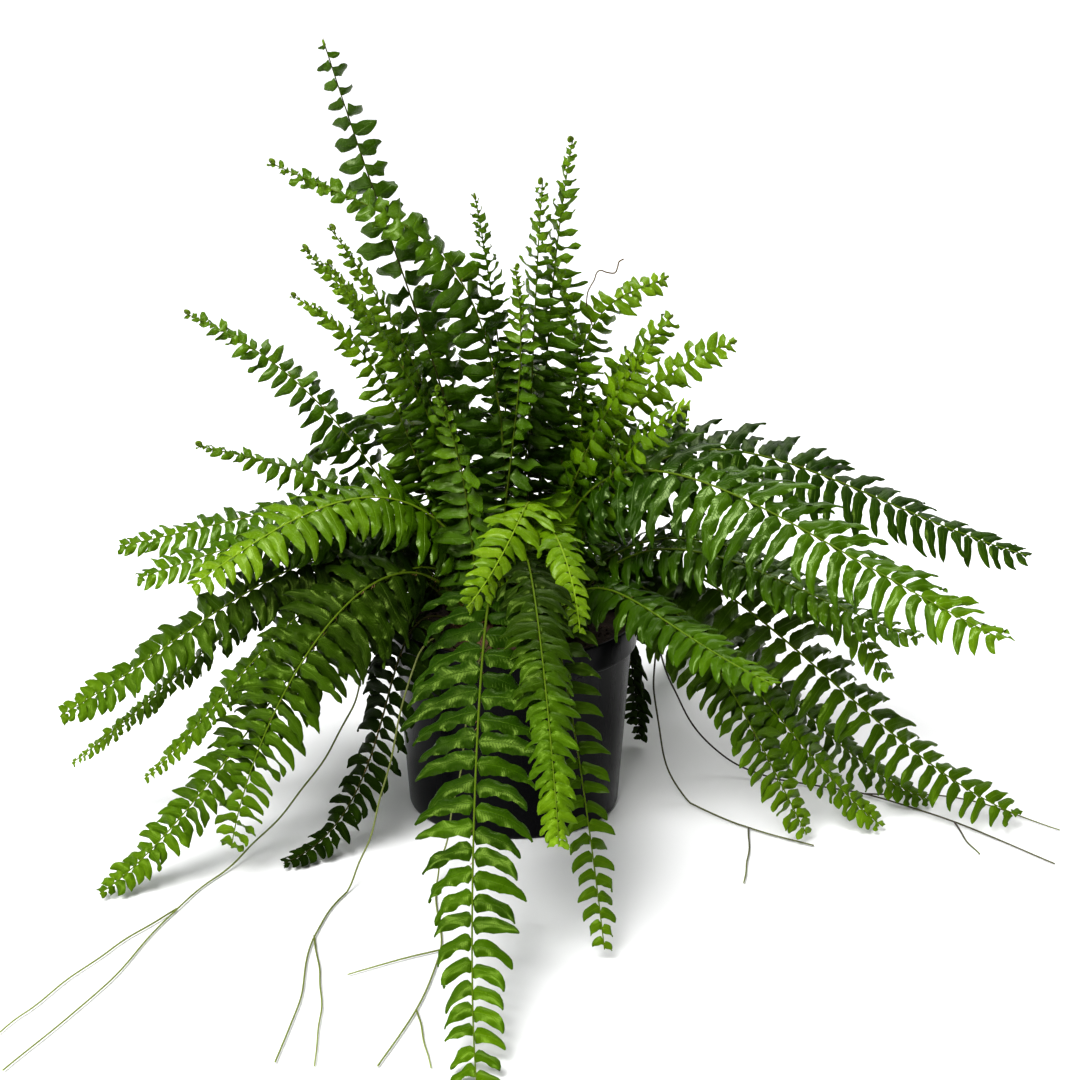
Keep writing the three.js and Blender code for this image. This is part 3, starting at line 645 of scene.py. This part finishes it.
class Frond:
    """One frond: its rib is a curve with four control points, and its style sets its leaflets."""

    def __init__(self, group, index, row, rng):
        azimuth, root, reach, tip, launch, slope, rise, fall, sway, leaflet, roll = row
        self.group, self.rng = group, rng
        self.name = f"{group}_frond_{index + 1:02d}"
        self.leaflet = leaflet
        self.roll = math.radians(roll)
        self.loose = UPRIGHT_LOOSE if group == "upright" else LOOSE
        self.style = {**STYLES[group], **SPECIAL.get(self.name, {})}
        turn, up, down = math.radians(azimuth), math.radians(launch), math.radians(slope)
        out = np.array((math.cos(turn), math.sin(turn), 0.0))
        self.side = np.array((-math.sin(turn), math.cos(turn), 0.0))
        height = ROOT_Z / MM
        rows = (
            (root, height, 0.0),
            (root + rise * math.cos(up), height + rise * math.sin(up), 0.0),
            (reach - fall * math.cos(down), tip - fall * math.sin(down), sway / 3),
            (reach, tip, sway),
        )
        self.controls = MM * np.array([
            out * away + self.side * aside + np.array((0, 0, z)) for away, z, aside in rows])
        self.steps = np.linspace(0.0, 1.0, CURVE_POINTS)
        path = self.bezier(self.steps)
        self.arc = np.concatenate(([0.0], np.cumsum(np.linalg.norm(np.diff(path, axis=0), axis=1))))
        self.length = self.arc[-1]
        self.leaf_start = self.style.get("leaf_start", LEAVES_START)
        share, extra = self.style["space"]
        leafy = self.length * (1 - self.leaf_start)
        self.pairs = round(leafy / (MM * (share * leaflet + extra)))
        self.pitch = leafy / self.pairs

    def bezier(self, t):
        a, b, c, d = self.controls
        t = np.asarray(t)[..., None]
        return a * (1 - t) ** 3 + 3 * b * t * (1 - t) ** 2 + 3 * c * t * t * (1 - t) + d * t ** 3

    def frame(self, u):
        """The rib's centre and the blade's directions at these shares of the rib's length."""
        t = np.interp(np.asarray(u) * self.length, self.arc, self.steps)
        a, b, c, d = self.controls
        s = t[..., None]
        slope = 3 * (b - a) * (1 - s) ** 2 + 6 * (c - b) * s * (1 - s) + 3 * (d - c) * s * s
        along = unit(slope)
        flat = unit(self.side - along * (along @ self.side)[..., None])
        above = np.cross(along, flat)
        from_root = self.style.get("root_roll", 1.0)
        roll = (self.roll * (from_root + (1 - from_root) * np.asarray(u)))[..., None]
        across = flat * np.cos(roll) + above * np.sin(roll)
        return self.bezier(t), along, across, np.cross(along, across)

    def rib_radius(self, u):
        """A frond with longer leaflets has a stouter rib."""
        return (RIB_ROOT * (0.6 + 0.4 * self.leaflet / 60)) * (1 - u) + RIB_TIP * u

    def leaf_length(self, v):
        """How long a leaflet is at this share of the leafy part of the rib."""
        if v < LONGEST_AT:
            first = self.style.get("first", FIRST_LEAFLET)
            return MM * self.leaflet * (first + (1 - first) * v / LONGEST_AT)
        past = (v - LONGEST_AT) / (1 - LONGEST_AT)
        return MM * self.leaflet * (1 - self.style["shrink"] * past ** self.style["power"])

    def hug(self, v):
        """How tightly a leaflet near the tip of the frond still hugs the rib."""
        return self.style["hug"] * smooth(v, 0.58, 0.97)


@functools.cache
def leaf_faces(rows, columns):
    """Faces of a blade's upper and under sheets, which share the vertices of its edge."""
    upper = np.arange((rows + 1) * (columns + 1)).reshape(rows + 1, columns + 1)
    lower = upper.copy()
    inner = (rows - 1) * (columns - 1)
    lower[1:-1, 1:-1] = upper.size + np.arange(inner).reshape(rows - 1, columns - 1)

    def quads(grid):
        corners = (grid[:-1, :-1], grid[:-1, 1:], grid[1:, 1:], grid[1:, :-1])
        return np.stack(corners, axis=-1).reshape(-1, 4)

    return np.concatenate((quads(upper), quads(lower)[:, ::-1]))


# A blade's mesh has a row about every ROW_STEP, and more columns where it is longer than LONG_BLADE.
ROW_STEP, LONG_BLADE = 2.4 * MM, 26 * MM
BLADE_THICKNESS = 0.5 * MM
# The share of its width that a blade loses at its stalk, and over what share of its length, where its
# ear is and how long, how deep a long blade is scalloped, and the least share of its width.
STALK_PINCH, STALK_REACH = 0.78, 0.030
EAR_AT, EAR_REACH = 0.10, 0.09
SCALLOP, NARROWEST = 0.04, 0.06


def midvein(frond, u, hand, v, s, length):
    """A midvein's centres, which run out, bend to the frond's tip and sag, and the blade's directions."""
    style, rng, loose, hug = frond.style, frond.rng, frond.loose, frond.hug(v)
    point, along, across, up = (part[0] for part in frond.frame(np.array([u])))
    lean, lean_more = style["lean"]
    sweep = lean + lean_more * v + hand * style.get("skew", 0)
    sweep = sweep + loose * rng.uniform(-5, 5) + 80 * hug
    sweep = sweep + style["hook"] * rng.uniform(0.4, 1.5) * s ** 1.6
    sweep = np.radians(sweep + rng.uniform(2, 8) * np.sin(2 * math.pi * s * rng.uniform(0.8, 1.6)))
    dip = style["droop"] + loose * rng.uniform(-7, 7) - 30 * hug
    dip = np.radians(dip + style["sag"] * rng.uniform(0.2, 1.7) * s)
    out = across * hand * np.cos(dip)[:, None] - up * np.sin(dip)[:, None]
    forward = out * np.cos(sweep)[:, None] + along * np.sin(sweep)[:, None]
    step = 0.5 * (forward[1:] + forward[:-1]) * np.diff(s)[:, None] * length
    run = np.vstack((np.zeros(3), np.cumsum(step, axis=0)))
    centre = point + out[0] * frond.rib_radius(u) * 0.6 + run
    wide = unit(along - forward * (forward @ along)[:, None])
    face = hand * np.cross(wide, forward)
    # The face turns towards the sky, and the blade twists.
    to_sky = np.arctan2(wide[:, 2], face[:, 2])
    turn = style["skyward"] * rng.uniform(0.6, 1.4) * np.clip(to_sky, -1.9, 1.9)
    turn = turn + math.radians(style["twist"]) * (rng.uniform(-1, 1) * s + 0.5 * rng.uniform(-1, 1))
    cos, sin = np.cos(turn)[:, None], np.sin(turn)[:, None]
    return centre, wide * cos + face * sin, face * cos - wide * sin


def blade_outline(style, s, t, half, length):
    """How far the blade's points lie from the midvein, with its stalk, ear, heel and rounded end."""
    fat, blunt = style["end"]
    taper = np.clip((s - style["taper"]) / (1 - style["taper"]), 0.0, 1.0)
    outline = (1 - taper ** fat) ** blunt
    outline *= 1 - STALK_PINCH * np.exp(-(s / STALK_REACH) ** 2)
    ear = 1 + style["ear"] * np.exp(-((s - EAR_AT) / EAR_REACH) ** 2)
    cut, cut_reach = style["heel"]
    heel = 1 - cut * np.exp(-(s / cut_reach) ** 2)
    edge = SCALLOP * smooth(length, 22 * MM, 40 * MM)
    scallop = 1 + edge * np.where(np.arange(len(s)) % 2 == 0, 1.0, -1.0) * (s > 0.05)
    widths = half * np.maximum(outline * scallop, NARROWEST)
    return widths[:, None] * np.where(t[None] > 0, ear[:, None], heel[:, None]) * t[None]


def blade_lift(frond, v, s, t, half, length):
    """How far the blade's points rise: it is arched, and its edges wave between calm ends."""
    rng, off = frond.rng, np.abs(t)
    waves = rng.uniform(0.8, 1.5) + 1.8 * smooth(length, 22 * MM, 50 * MM)
    ripple = frond.style["wave"] * (1 + frond.hug(v)) * rng.uniform(0.5, 1.5) * np.sin(
        2 * math.pi * (waves * s[:, None] + 0.25 * t[None]) + rng.uniform(0, 6.3))
    arch = 0.22 * off - 0.42 * off ** 2
    calm = np.sin(math.pi * s)[:, None] ** 0.5
    return half * (arch[None] + ripple * (off ** 2)[None] * calm)


def add_leaflet(piece, frond, u, hand, v, tone):
    """A leaflet at u of the rib, which is v of its leafy part. The hand is 1 or -1, for its side."""
    length = frond.leaf_length(v) * (1 + frond.loose * frond.rng.uniform(-0.08, 0.08))
    length = length * (1 - 0.6 * frond.hug(v)) * (1 - 0.35 * smooth(v, 0.93, 1.0))
    share, extra = frond.style["width"]
    half = 0.5 * min(share * length + extra * MM, 0.62 * length, 1.1 * frond.pitch)
    rows = int(np.clip(round(length / ROW_STEP), 9, 24))
    columns = 6 if length > LONG_BLADE else 4
    # The share s runs along the midvein, with its rows closer near both ends, and t across the blade.
    even = np.linspace(0.0, 1.0, rows + 1)
    s = 0.45 * even + 0.55 * 0.5 * (1 - np.cos(math.pi * even))
    t = np.linspace(-1.0, 1.0, columns + 1)
    centre, wide, face = midvein(frond, u, hand, v, s, length)
    reach = blade_outline(frond.style, s, t, half, length)
    lift = blade_lift(frond, v, s, t, half, length)
    sheet = centre[:, None] + wide[:, None] * reach[..., None] + face[:, None] * lift[..., None]
    # Thinner towards its edges, and thinner all over where it is narrow.
    thick = BLADE_THICKNESS * (0.30 + 0.35 * (1 - np.abs(t)) ** 2)[None, :, None]
    thick = thick * np.minimum(1.0, half / (4 * MM))
    upper = sheet + face[:, None] * thick
    upper[[0, -1]], upper[:, [0, -1]] = sheet[[0, -1]], sheet[:, [0, -1]]
    lower = (sheet - face[:, None] * thick)[1:-1, 1:-1]
    points = landed(np.concatenate((upper.reshape(-1, 3), lower.reshape(-1, 3))))
    place = places(s[:, None], t[None], tone)
    inner = place[1:-1, 1:-1].reshape(-1, 3)
    faces = leaf_faces(rows, columns)
    piece.add(
        points, np.concatenate((place.reshape(-1, 3), inner)),
        under=np.repeat((0.0, 1.0), (len(points) - len(inner), len(inner))),
        quads=faces if hand > 0 else faces[:, ::-1])


def add_leaflets(piece, frond):
    low, high = frond.style["tone"]
    shift = frond.rng.uniform(-0.05, 0.05)
    for i in range(frond.pairs):
        for hand in (1, -1):
            step = (i + 0.5 + 0.5 * frond.style["stagger"] * hand) / frond.pairs
            step = min(max(step, 0.0), 0.995)
            v = step * (1 + frond.style["crowd"] * (1 - step))
            u = frond.leaf_start + (1 - frond.leaf_start) * v
            tone = low + (high - low) * v ** 1.2 + shift + frond.rng.uniform(-0.07, 0.07)
            add_leaflet(piece, frond, u, hand, v, tone)


def add_rib(piece, frond):
    u = np.linspace(0.0, 1.0, 40 + 2 * frond.pairs)
    centres = landed(frond.frame(u)[0])
    tone = frond.style["rib"] * (0.75 + 0.35 * u)
    piece.tube(centres, frond.rib_radius(u), 8, places(u, 0.0, tone), material=1)


def add_rib_scales(piece, frond):
    """Chaffy hairs on the rib, many at its foot and few among the leaflets."""
    rng, count = frond.rng, 110
    u = 0.03 + 0.7 * rng.random(count) ** 2.2
    point, along, across, up = frond.frame(u)
    angle = rng.uniform(0, 2 * math.pi, count)
    away = across * np.cos(angle)[:, None] + up * np.sin(angle)[:, None]
    radius = frond.rib_radius(u)[:, None]
    roots = point + away * radius * 0.7
    reach = rng.uniform(1.6, 3.6, count)[:, None] * MM
    tips = roots + reach * (along * rng.uniform(0.3, 1.0, count)[:, None] + away * 0.75)
    piece.spikes(landed(roots), landed(tips), 0.28 * MM, rng.uniform(0.2, 0.9, count), material=2)


def add_fiddlehead(piece, frond, size):
    """The tight coil at the tip of a frond that is still unrolling."""
    point, along, _, up = (part[0] for part in frond.frame(np.array([1.0])))
    turns = np.linspace(0.0, 1.75 * 2 * math.pi, 44)
    radius = size * np.exp(-0.17 * turns)
    centre = point + up * size
    coil = centre + radius[:, None] * (along * np.sin(turns)[:, None] - up * np.cos(turns)[:, None])
    share = turns / turns[-1]
    thickness = RIB_TIP * (1.0 + 1.6 * np.sin(math.pi * np.minimum(share * 1.2, 1.0)) ** 0.8)
    tone = 0.42 + 0.2 * frond.rng.random()
    piece.tube(coil, thickness, 7, places(1.0, share, tone), material=1)
    rng, count = frond.rng, 16
    pick = rng.integers(4, 36, count)
    radial = unit(coil[pick] - centre)
    side = np.cross(along, up) * rng.choice((-1, 1), count)[:, None]
    roots = coil[pick] + (radial + side * 0.5) * thickness[pick][:, None] * 0.5
    tips = roots + (radial + side * 0.8 + along * 0.3) * rng.uniform(0.5, 1.2, count)[:, None] * MM
    piece.spikes(roots, tips, 0.2 * MM, rng.uniform(0.3, 0.8, count), material=2)


def add_thread(piece, frond):
    """A dry, kinked thread that stands off the rib."""
    foot = frond.frame(np.array([THREAD_AT]))[0][0]
    path = foot + through(THREAD, steps=8)
    piece.tube(path, THREAD_RADIUS, 6, [(0.0, 0.0, 0.0)] * len(path), material=1)


def leaf_kind(frond):
    """Which of the leaf materials a frond has."""
    low, high = frond.style["tone"]
    if frond.group == "upright" or low > 0.5:
        return "young"
    # Fronds toned near black all along get the leaf with painted shade.
    if high < 0.2:
        return "painted_shade"
    if frond.name in ("hanging_frond_01", "spreading_frond_05"):
        return "broad"
    return "old" if frond.group in ("hanging", "rear") else "mature"


def add_fronds(materials):
    number = 0
    for group, rows in FRONDS.items():
        for index, row in enumerate(rows):
            number += 1
            rng = np.random.default_rng(SEED * 1000 + number)
            frond = Frond(group, index, row, rng)
            piece = Piece()
            add_rib(piece, frond)
            add_leaflets(piece, frond)
            add_rib_scales(piece, frond)
            if group == "upright":
                add_fiddlehead(piece, frond, MM * (2.2 + 1.2 * rng.random()))
            if frond.name == THREADED:
                add_thread(piece, frond)
            skins = [materials[leaf_kind(frond)], materials["rib"], materials["scale"]]
            piece.finish(frond.name + "_leaves", skins, frond.name)


# -------- runners

RUNNER_RADIUS = 0.75 * MM
# How far a runner wavers, and the length in which its wave turns by one radian.
WOBBLE, WOBBLE_PITCH = 0.6 * MM, 9 * MM
RUNNER_TONES = (0.25, 0.20, 0.15, -0.20, -0.28)
# The same bends as the solids have, in millimetres: of each runner first the stem, then its branches.
RUNNERS = [
    [
        [[-52, -24, 132], [-70, -32, 150], [-98, -45, 140], [-116, -56, 90], [-150, -80, 40], [-190, -115, 6],
         [-226, -190, 2], [-258, -300, 2], [-302, -405, 2]],
        [[-226, -190, 2], [-262, -250, 2], [-300, -330, 2], [-322, -380, 2]],
    ],
    [
        [[-36, -44, 132], [-56, -72, 152], [-68, -92, 140], [-84, -112, 80], [-98, -132, 30], [-112, -160, 3],
         [-130, -230, 2], [-132, -320, 2], [-140, -395, 2]],
        [[-130, -230, 2], [-119, -310, 2], [-116, -400, 2]],
    ],
    [
        [[-10, -56, 132], [-17, -82, 151], [-26, -102, 134], [-36, -112, 70], [-46, -122, 20], [-52, -150, 3],
         [-46, -250, 2], [-58, -330, 2], [-78, -400, 2]],
        [[-46, -250, 2], [-76, -266, 2], [-104, -284, 2]],
        [[-58, -330, 2], [-52, -364, 2], [-46, -402, 2]],
    ],
    [
        [[54, 6, 132], [76, 8, 151], [100, 10, 138], [104, 6, 80], [112, 0, 30], [128, -14, 3], [170, -60, 2],
         [214, -90, 2]],
        [[170, -60, 2], [166, -110, 2], [160, -150, 2]],
    ],
    [
        [[52, 26, 132], [74, 36, 151], [98, 46, 136], [118, 50, 70], [150, 46, 20], [190, 30, 3], [260, 0, 2],
         [320, -50, 2], [380, -120, 2]],
        [[320, -50, 2], [324, -80, 2], [330, -104, 2]],
        [[260, 0, 2], [330, -8, 2], [394, -64, 2]],
    ],
]


def through(bends, steps):
    """A smooth curve through the bends, the centripetal kind that the solids follow, in metres."""
    bends = np.asarray(bends, dtype=float)
    ends = np.vstack((2 * bends[0] - bends[1], bends, 2 * bends[-1] - bends[-2]))
    curve = []
    for k in range(len(bends) - 1):
        a, b, c, d = ends[k:k + 4]
        ab, bc, cd = (max(np.linalg.norm(q - p) ** 0.5, 1e-4) for p, q in ((a, b), (b, c), (c, d)))
        enter = ((b - a) / ab - (c - a) / (ab + bc) + (c - b) / bc) * bc
        leave = ((c - b) / bc - (d - b) / (bc + cd) + (d - c) / cd) * bc
        for t in np.arange(steps) / steps:
            curve.append(b * (2 * t ** 3 - 3 * t ** 2 + 1) + c * (3 * t ** 2 - 2 * t ** 3)
                         + enter * (t ** 3 - 2 * t ** 2 + t) + leave * (t ** 3 - t ** 2))
    curve.append(bends[-1])
    return MM * np.array(curve)


def add_runners(materials):
    for index, branches in enumerate(RUNNERS):
        rng = np.random.default_rng(SEED * 2000 + index)
        piece = Piece()
        tone = RUNNER_TONES[index] + rng.uniform(-0.05, 0.05)
        for rank, bends in enumerate(branches):
            path = through(bends, steps=14)
            share = np.linspace(0.0, 1.0, len(path))
            fade = np.sin(math.pi * share)[:, None]
            phase = rng.uniform(0, 6.3, 3)
            turns = np.linalg.norm(np.diff(path, axis=0), axis=1).sum() / WOBBLE_PITCH
            wobble = np.stack([np.sin(turns * share + p) for p in phase], axis=-1) * (WOBBLE, WOBBLE, 0.0)
            path = path + wobble * fade
            path[:, 2] = np.maximum(path[:, 2], LOWEST + RUNNER_RADIUS)
            radius = RUNNER_RADIUS * (1.0 - 0.25 * share) * (1.0 if rank == 0 else 0.85)
            piece.tube(path, radius, 8, places(share, 0.0, tone + 0.2 * (rank > 0)))
        piece.finish(f"runner_{index + 1}_stem", [materials["runner"]], f"runner_{index + 1}")


# -------- pot, soil and crown

# In millimetres.
POT_HEIGHT, COLLAR_HEIGHT = 145, 22
LIP_RADIUS, NECK_RADIUS, BASE_RADIUS = 90, 86, 77
POT_WALL, POT_FLOOR = 1.6, 3
DRAIN_HOLES, DRAIN_RADIUS, DRAIN_RING = 6, 5, 52
NECK = POT_HEIGHT - COLLAR_HEIGHT
SOIL_TOP, SOIL_GAP = 133, 0.6
CRUMBS = 420
CROWN_RADIUS, CROWN_FOOT, CROWN_SHOULDER, CROWN_TOP = 47, 122, 134, 148
CROWN_SCALES = 1500


def wall_radius(z):
    return BASE_RADIUS + (NECK_RADIUS - BASE_RADIUS) * z / NECK


def turned(piece, profile, sides):
    """A closed turned shape: the profile starts and ends on the axis."""
    rings = np.array(profile[1:-1], dtype=float)
    angles = np.arange(sides) * 2 * math.pi / sides
    circle = np.stack((np.cos(angles), np.sin(angles)), axis=-1)
    points = np.concatenate([np.column_stack((circle * radius, np.full(sides, z))) for radius, z in rings])
    points = np.vstack((points, (0, 0, profile[0][1]), (0, 0, profile[-1][1])))
    first, last = len(points) - 2, len(points) - 1
    ends = [(first, (n + 1) % sides, n) for n in range(sides)]
    top = (len(rings) - 1) * sides
    ends += [(last, top + n, top + (n + 1) % sides) for n in range(sides)]
    piece.add(MM * points, (0, 0, 0), quads=ring_faces(len(rings), sides), triangles=ends)


def add_pot(material):
    """Up the outside, over the lip and down the inside, and then the drain holes are cut."""
    piece = Piece()
    inner = LIP_RADIUS - POT_WALL
    turned(piece, [
        (0, 0), (BASE_RADIUS - 3, 0), (BASE_RADIUS - 1.4, 0.4), (BASE_RADIUS - 0.4, 1.4),
        (wall_radius(3), 3), (wall_radius(40), 40), (wall_radius(80), 80),
        (wall_radius(NECK - 0.8), NECK - 0.8), (NECK_RADIUS + 0.5, NECK),
        (LIP_RADIUS - 0.9, NECK + 1.6), (LIP_RADIUS - 0.2, NECK + 2.4),
        (LIP_RADIUS, NECK + 4), (LIP_RADIUS, NECK + 12), (LIP_RADIUS, POT_HEIGHT - 1.2),
        (LIP_RADIUS - 0.35, POT_HEIGHT - 0.3), (LIP_RADIUS - 0.8, POT_HEIGHT),
        (inner - 0.2, POT_HEIGHT), (inner - 0.7, POT_HEIGHT - 0.5), (inner - 0.8, POT_HEIGHT - 1.5),
        (inner - 0.8, NECK + 4), (NECK_RADIUS - POT_WALL, NECK), (wall_radius(80) - POT_WALL, 80),
        (wall_radius(POT_FLOOR) - POT_WALL, POT_FLOOR), (0, POT_FLOOR),
    ], sides=128)
    pot = piece.finish("nursery_pot", [material], "pot", crease=40.0)
    drill = Piece()
    for i in range(DRAIN_HOLES):
        angle = (i + 0.5) * 2 * math.pi / DRAIN_HOLES
        x, y = MM * DRAIN_RING * math.cos(angle), MM * DRAIN_RING * math.sin(angle)
        drill.tube([(x, y, z) for z in (-0.01, 0.0, 0.01)], MM * DRAIN_RADIUS, 32, [(0, 0, 0)] * 3)
    cutter = drill.finish("drain_drill", [material])
    cut = pot.modifiers.new("drains", "BOOLEAN")
    cut.operation, cut.object, cut.solver = "DIFFERENCE", cutter, "EXACT"
    depsgraph = bpy.context.evaluated_depsgraph_get()
    mesh = bpy.data.meshes.new_from_object(pot.evaluated_get(depsgraph))
    pot.modifiers.clear()
    pot.data = mesh
    bpy.data.objects.remove(cutter)


def rough(x, y, scale, seed):
    """Uneven height, as a share of 1 either way, at a place in metres."""
    return noise.fractal(Vector((x * scale, y * scale, seed)), 1.0, 2.0, 4)


def add_soil(material):
    """Peat with an uneven top, and loose crumbs on it round the crown."""
    piece = Piece()
    rng = np.random.default_rng(SEED * 3000)
    foot, level, rings = POT_FLOOR + 0.5, SOIL_TOP - 1.0, 34
    side = [(wall_radius(z) - POT_WALL - SOIL_GAP, z) for z in (foot, 60, NECK - 2)]
    rim = NECK_RADIUS - POT_WALL - SOIL_GAP
    top = [(rim * (1 - k / rings), level) for k in range(rings)]
    turned(piece, [(0, foot)] + side + top + [(0, level)], sides=150)
    for point in piece.points[0]:
        if point[2] > (level - 0.5) * MM:
            x, y = point[0], point[1]
            point[2] += MM * (1.6 * rough(x, y, 40, 3.0) + 1.0 * rough(x, y, 170, 9.0))
    angle = rng.uniform(0, 2 * math.pi, CRUMBS)
    ring = rng.uniform(0.42, 0.97, CRUMBS) * rim * MM
    for a, r in zip(angle, ring):
        x, y = r * math.cos(a), r * math.sin(a)
        z = MM * (SOIL_TOP - 0.6 + 1.6 * rough(x, y, 40, 3.0))
        crumb(piece, rng, (x, y, z), MM * rng.uniform(0.7, 2.1))
    piece.finish("peat_soil", [material], "soil", crease=180.0)


def crumb(piece, rng, centre, size):
    """A small angular lump with eight faces."""
    corners = np.array(((1, 0, 0), (-1, 0, 0), (0, 1, 0), (0, -1, 0), (0, 0, 1), (0, 0, -1)), dtype=float)
    corners *= rng.uniform(0.55, 1.1, (6, 1)) * size
    corners += rng.uniform(-0.25, 0.25, (6, 3)) * size
    faces = ((0, 2, 4), (2, 1, 4), (1, 3, 4), (3, 0, 4), (2, 0, 5), (1, 2, 5), (3, 1, 5), (0, 3, 5))
    piece.add(corners + np.array(centre), (0, 0, 0), triangles=faces)


def add_crown(materials):
    """A lumpy dome, half sunk in the soil and thick with pointed scales."""
    piece = Piece()
    rng = np.random.default_rng(SEED * 4000)
    rise = CROWN_TOP - CROWN_SHOULDER
    profile = [(0, CROWN_FOOT), (CROWN_RADIUS - 6, CROWN_FOOT), (CROWN_RADIUS, CROWN_FOOT + 6),
               (CROWN_RADIUS, CROWN_SHOULDER)]
    profile += [(CROWN_RADIUS * math.cos(a), CROWN_SHOULDER + rise * math.sin(a))
                for a in np.radians(np.arange(8, 89, 8))]
    turned(piece, profile + [(0, CROWN_TOP)], sides=96)
    for point in piece.points[0]:
        if point[2] > 0.130:
            x, y = point[0], point[1]
            bump = rough(x, y, 60, 5.0) + 0.6 * rough(x, y, 160, 7.0)
            point[2] += MM * 1.4 * bump
            point[:2] *= 1 + 0.02 * bump
    count = CROWN_SCALES
    angle = rng.uniform(0, 2 * math.pi, count)
    ring = CROWN_RADIUS * MM * np.sqrt(rng.uniform(0.02, 0.98, count))
    dome = MM * (CROWN_SHOULDER + rise * np.sqrt(1 - (ring / (CROWN_RADIUS * MM)) ** 2))
    roots = np.stack((ring * np.cos(angle), ring * np.sin(angle), dome - 0.5 * MM), axis=-1)
    lean = np.stack((np.cos(angle), np.sin(angle), rng.uniform(0.5, 2.0, count)), axis=-1)
    lean[:, :2] *= rng.uniform(0.2, 1.2, (count, 1))
    tips = roots + unit(lean + rng.uniform(-0.4, 0.4, (count, 3))) * rng.uniform(3, 8, count)[:, None] * MM
    piece.spikes(roots, tips, 0.42 * MM, rng.uniform(0.0, 0.9, count), material=1)
    piece.finish("fern_crown_scales", [materials["crown"], materials["scale"]], "crown")


# -------- floor and assembly

FLOOR_HALF = 20.0


def add_floor():
    mesh = bpy.data.meshes.new("studio_floor")
    signs = ((-1, -1), (1, -1), (1, 1), (-1, 1))
    corners = [(x * FLOOR_HALF, y * FLOOR_HALF, 0) for x, y in signs]
    mesh.from_pydata(corners, [], [(0, 1, 2, 3)])
    mesh.materials.append(floor_material())
    new_object("studio_floor", mesh)


# Each kind of leaf has its tones, roughness, the share of light that shines through, gloss and tint.
MATERIALS = {
    "broad": leaf_material("broad_leaf", GREEN_TONES, 0.30, 0.16, 0.36),
    "mature": leaf_material("mature_leaf", GREEN_TONES, 0.21, 0.16, 0.44, MATURE_GLOSS),
    "old": leaf_material("old_leaf", OLIVE_TONES, 0.32, 0.12, 0.32),
    # Painted shade: an olive leaf kept near black, with almost no shine and almost no light through it, for
    # fronds in shadow.
    "painted_shade": leaf_material("shaded_leaf", OLIVE_TONES, 0.50, 0.02, 0.05),
    "young": leaf_material("young_leaf", GREEN_TONES, 0.26, 0.26, 0.50, YOUNG_GLOSS),
    "rib": rib_material(),
    "scale": scale_material(),
    "runner": runner_material(),
    "crown": crown_material(),
}

add_camera()
add_studio()
add_floor()
add_pot(pot_material())
add_soil(soil_material())
add_crown(MATERIALS)
add_runners(MATERIALS)
add_fronds(MATERIALS)
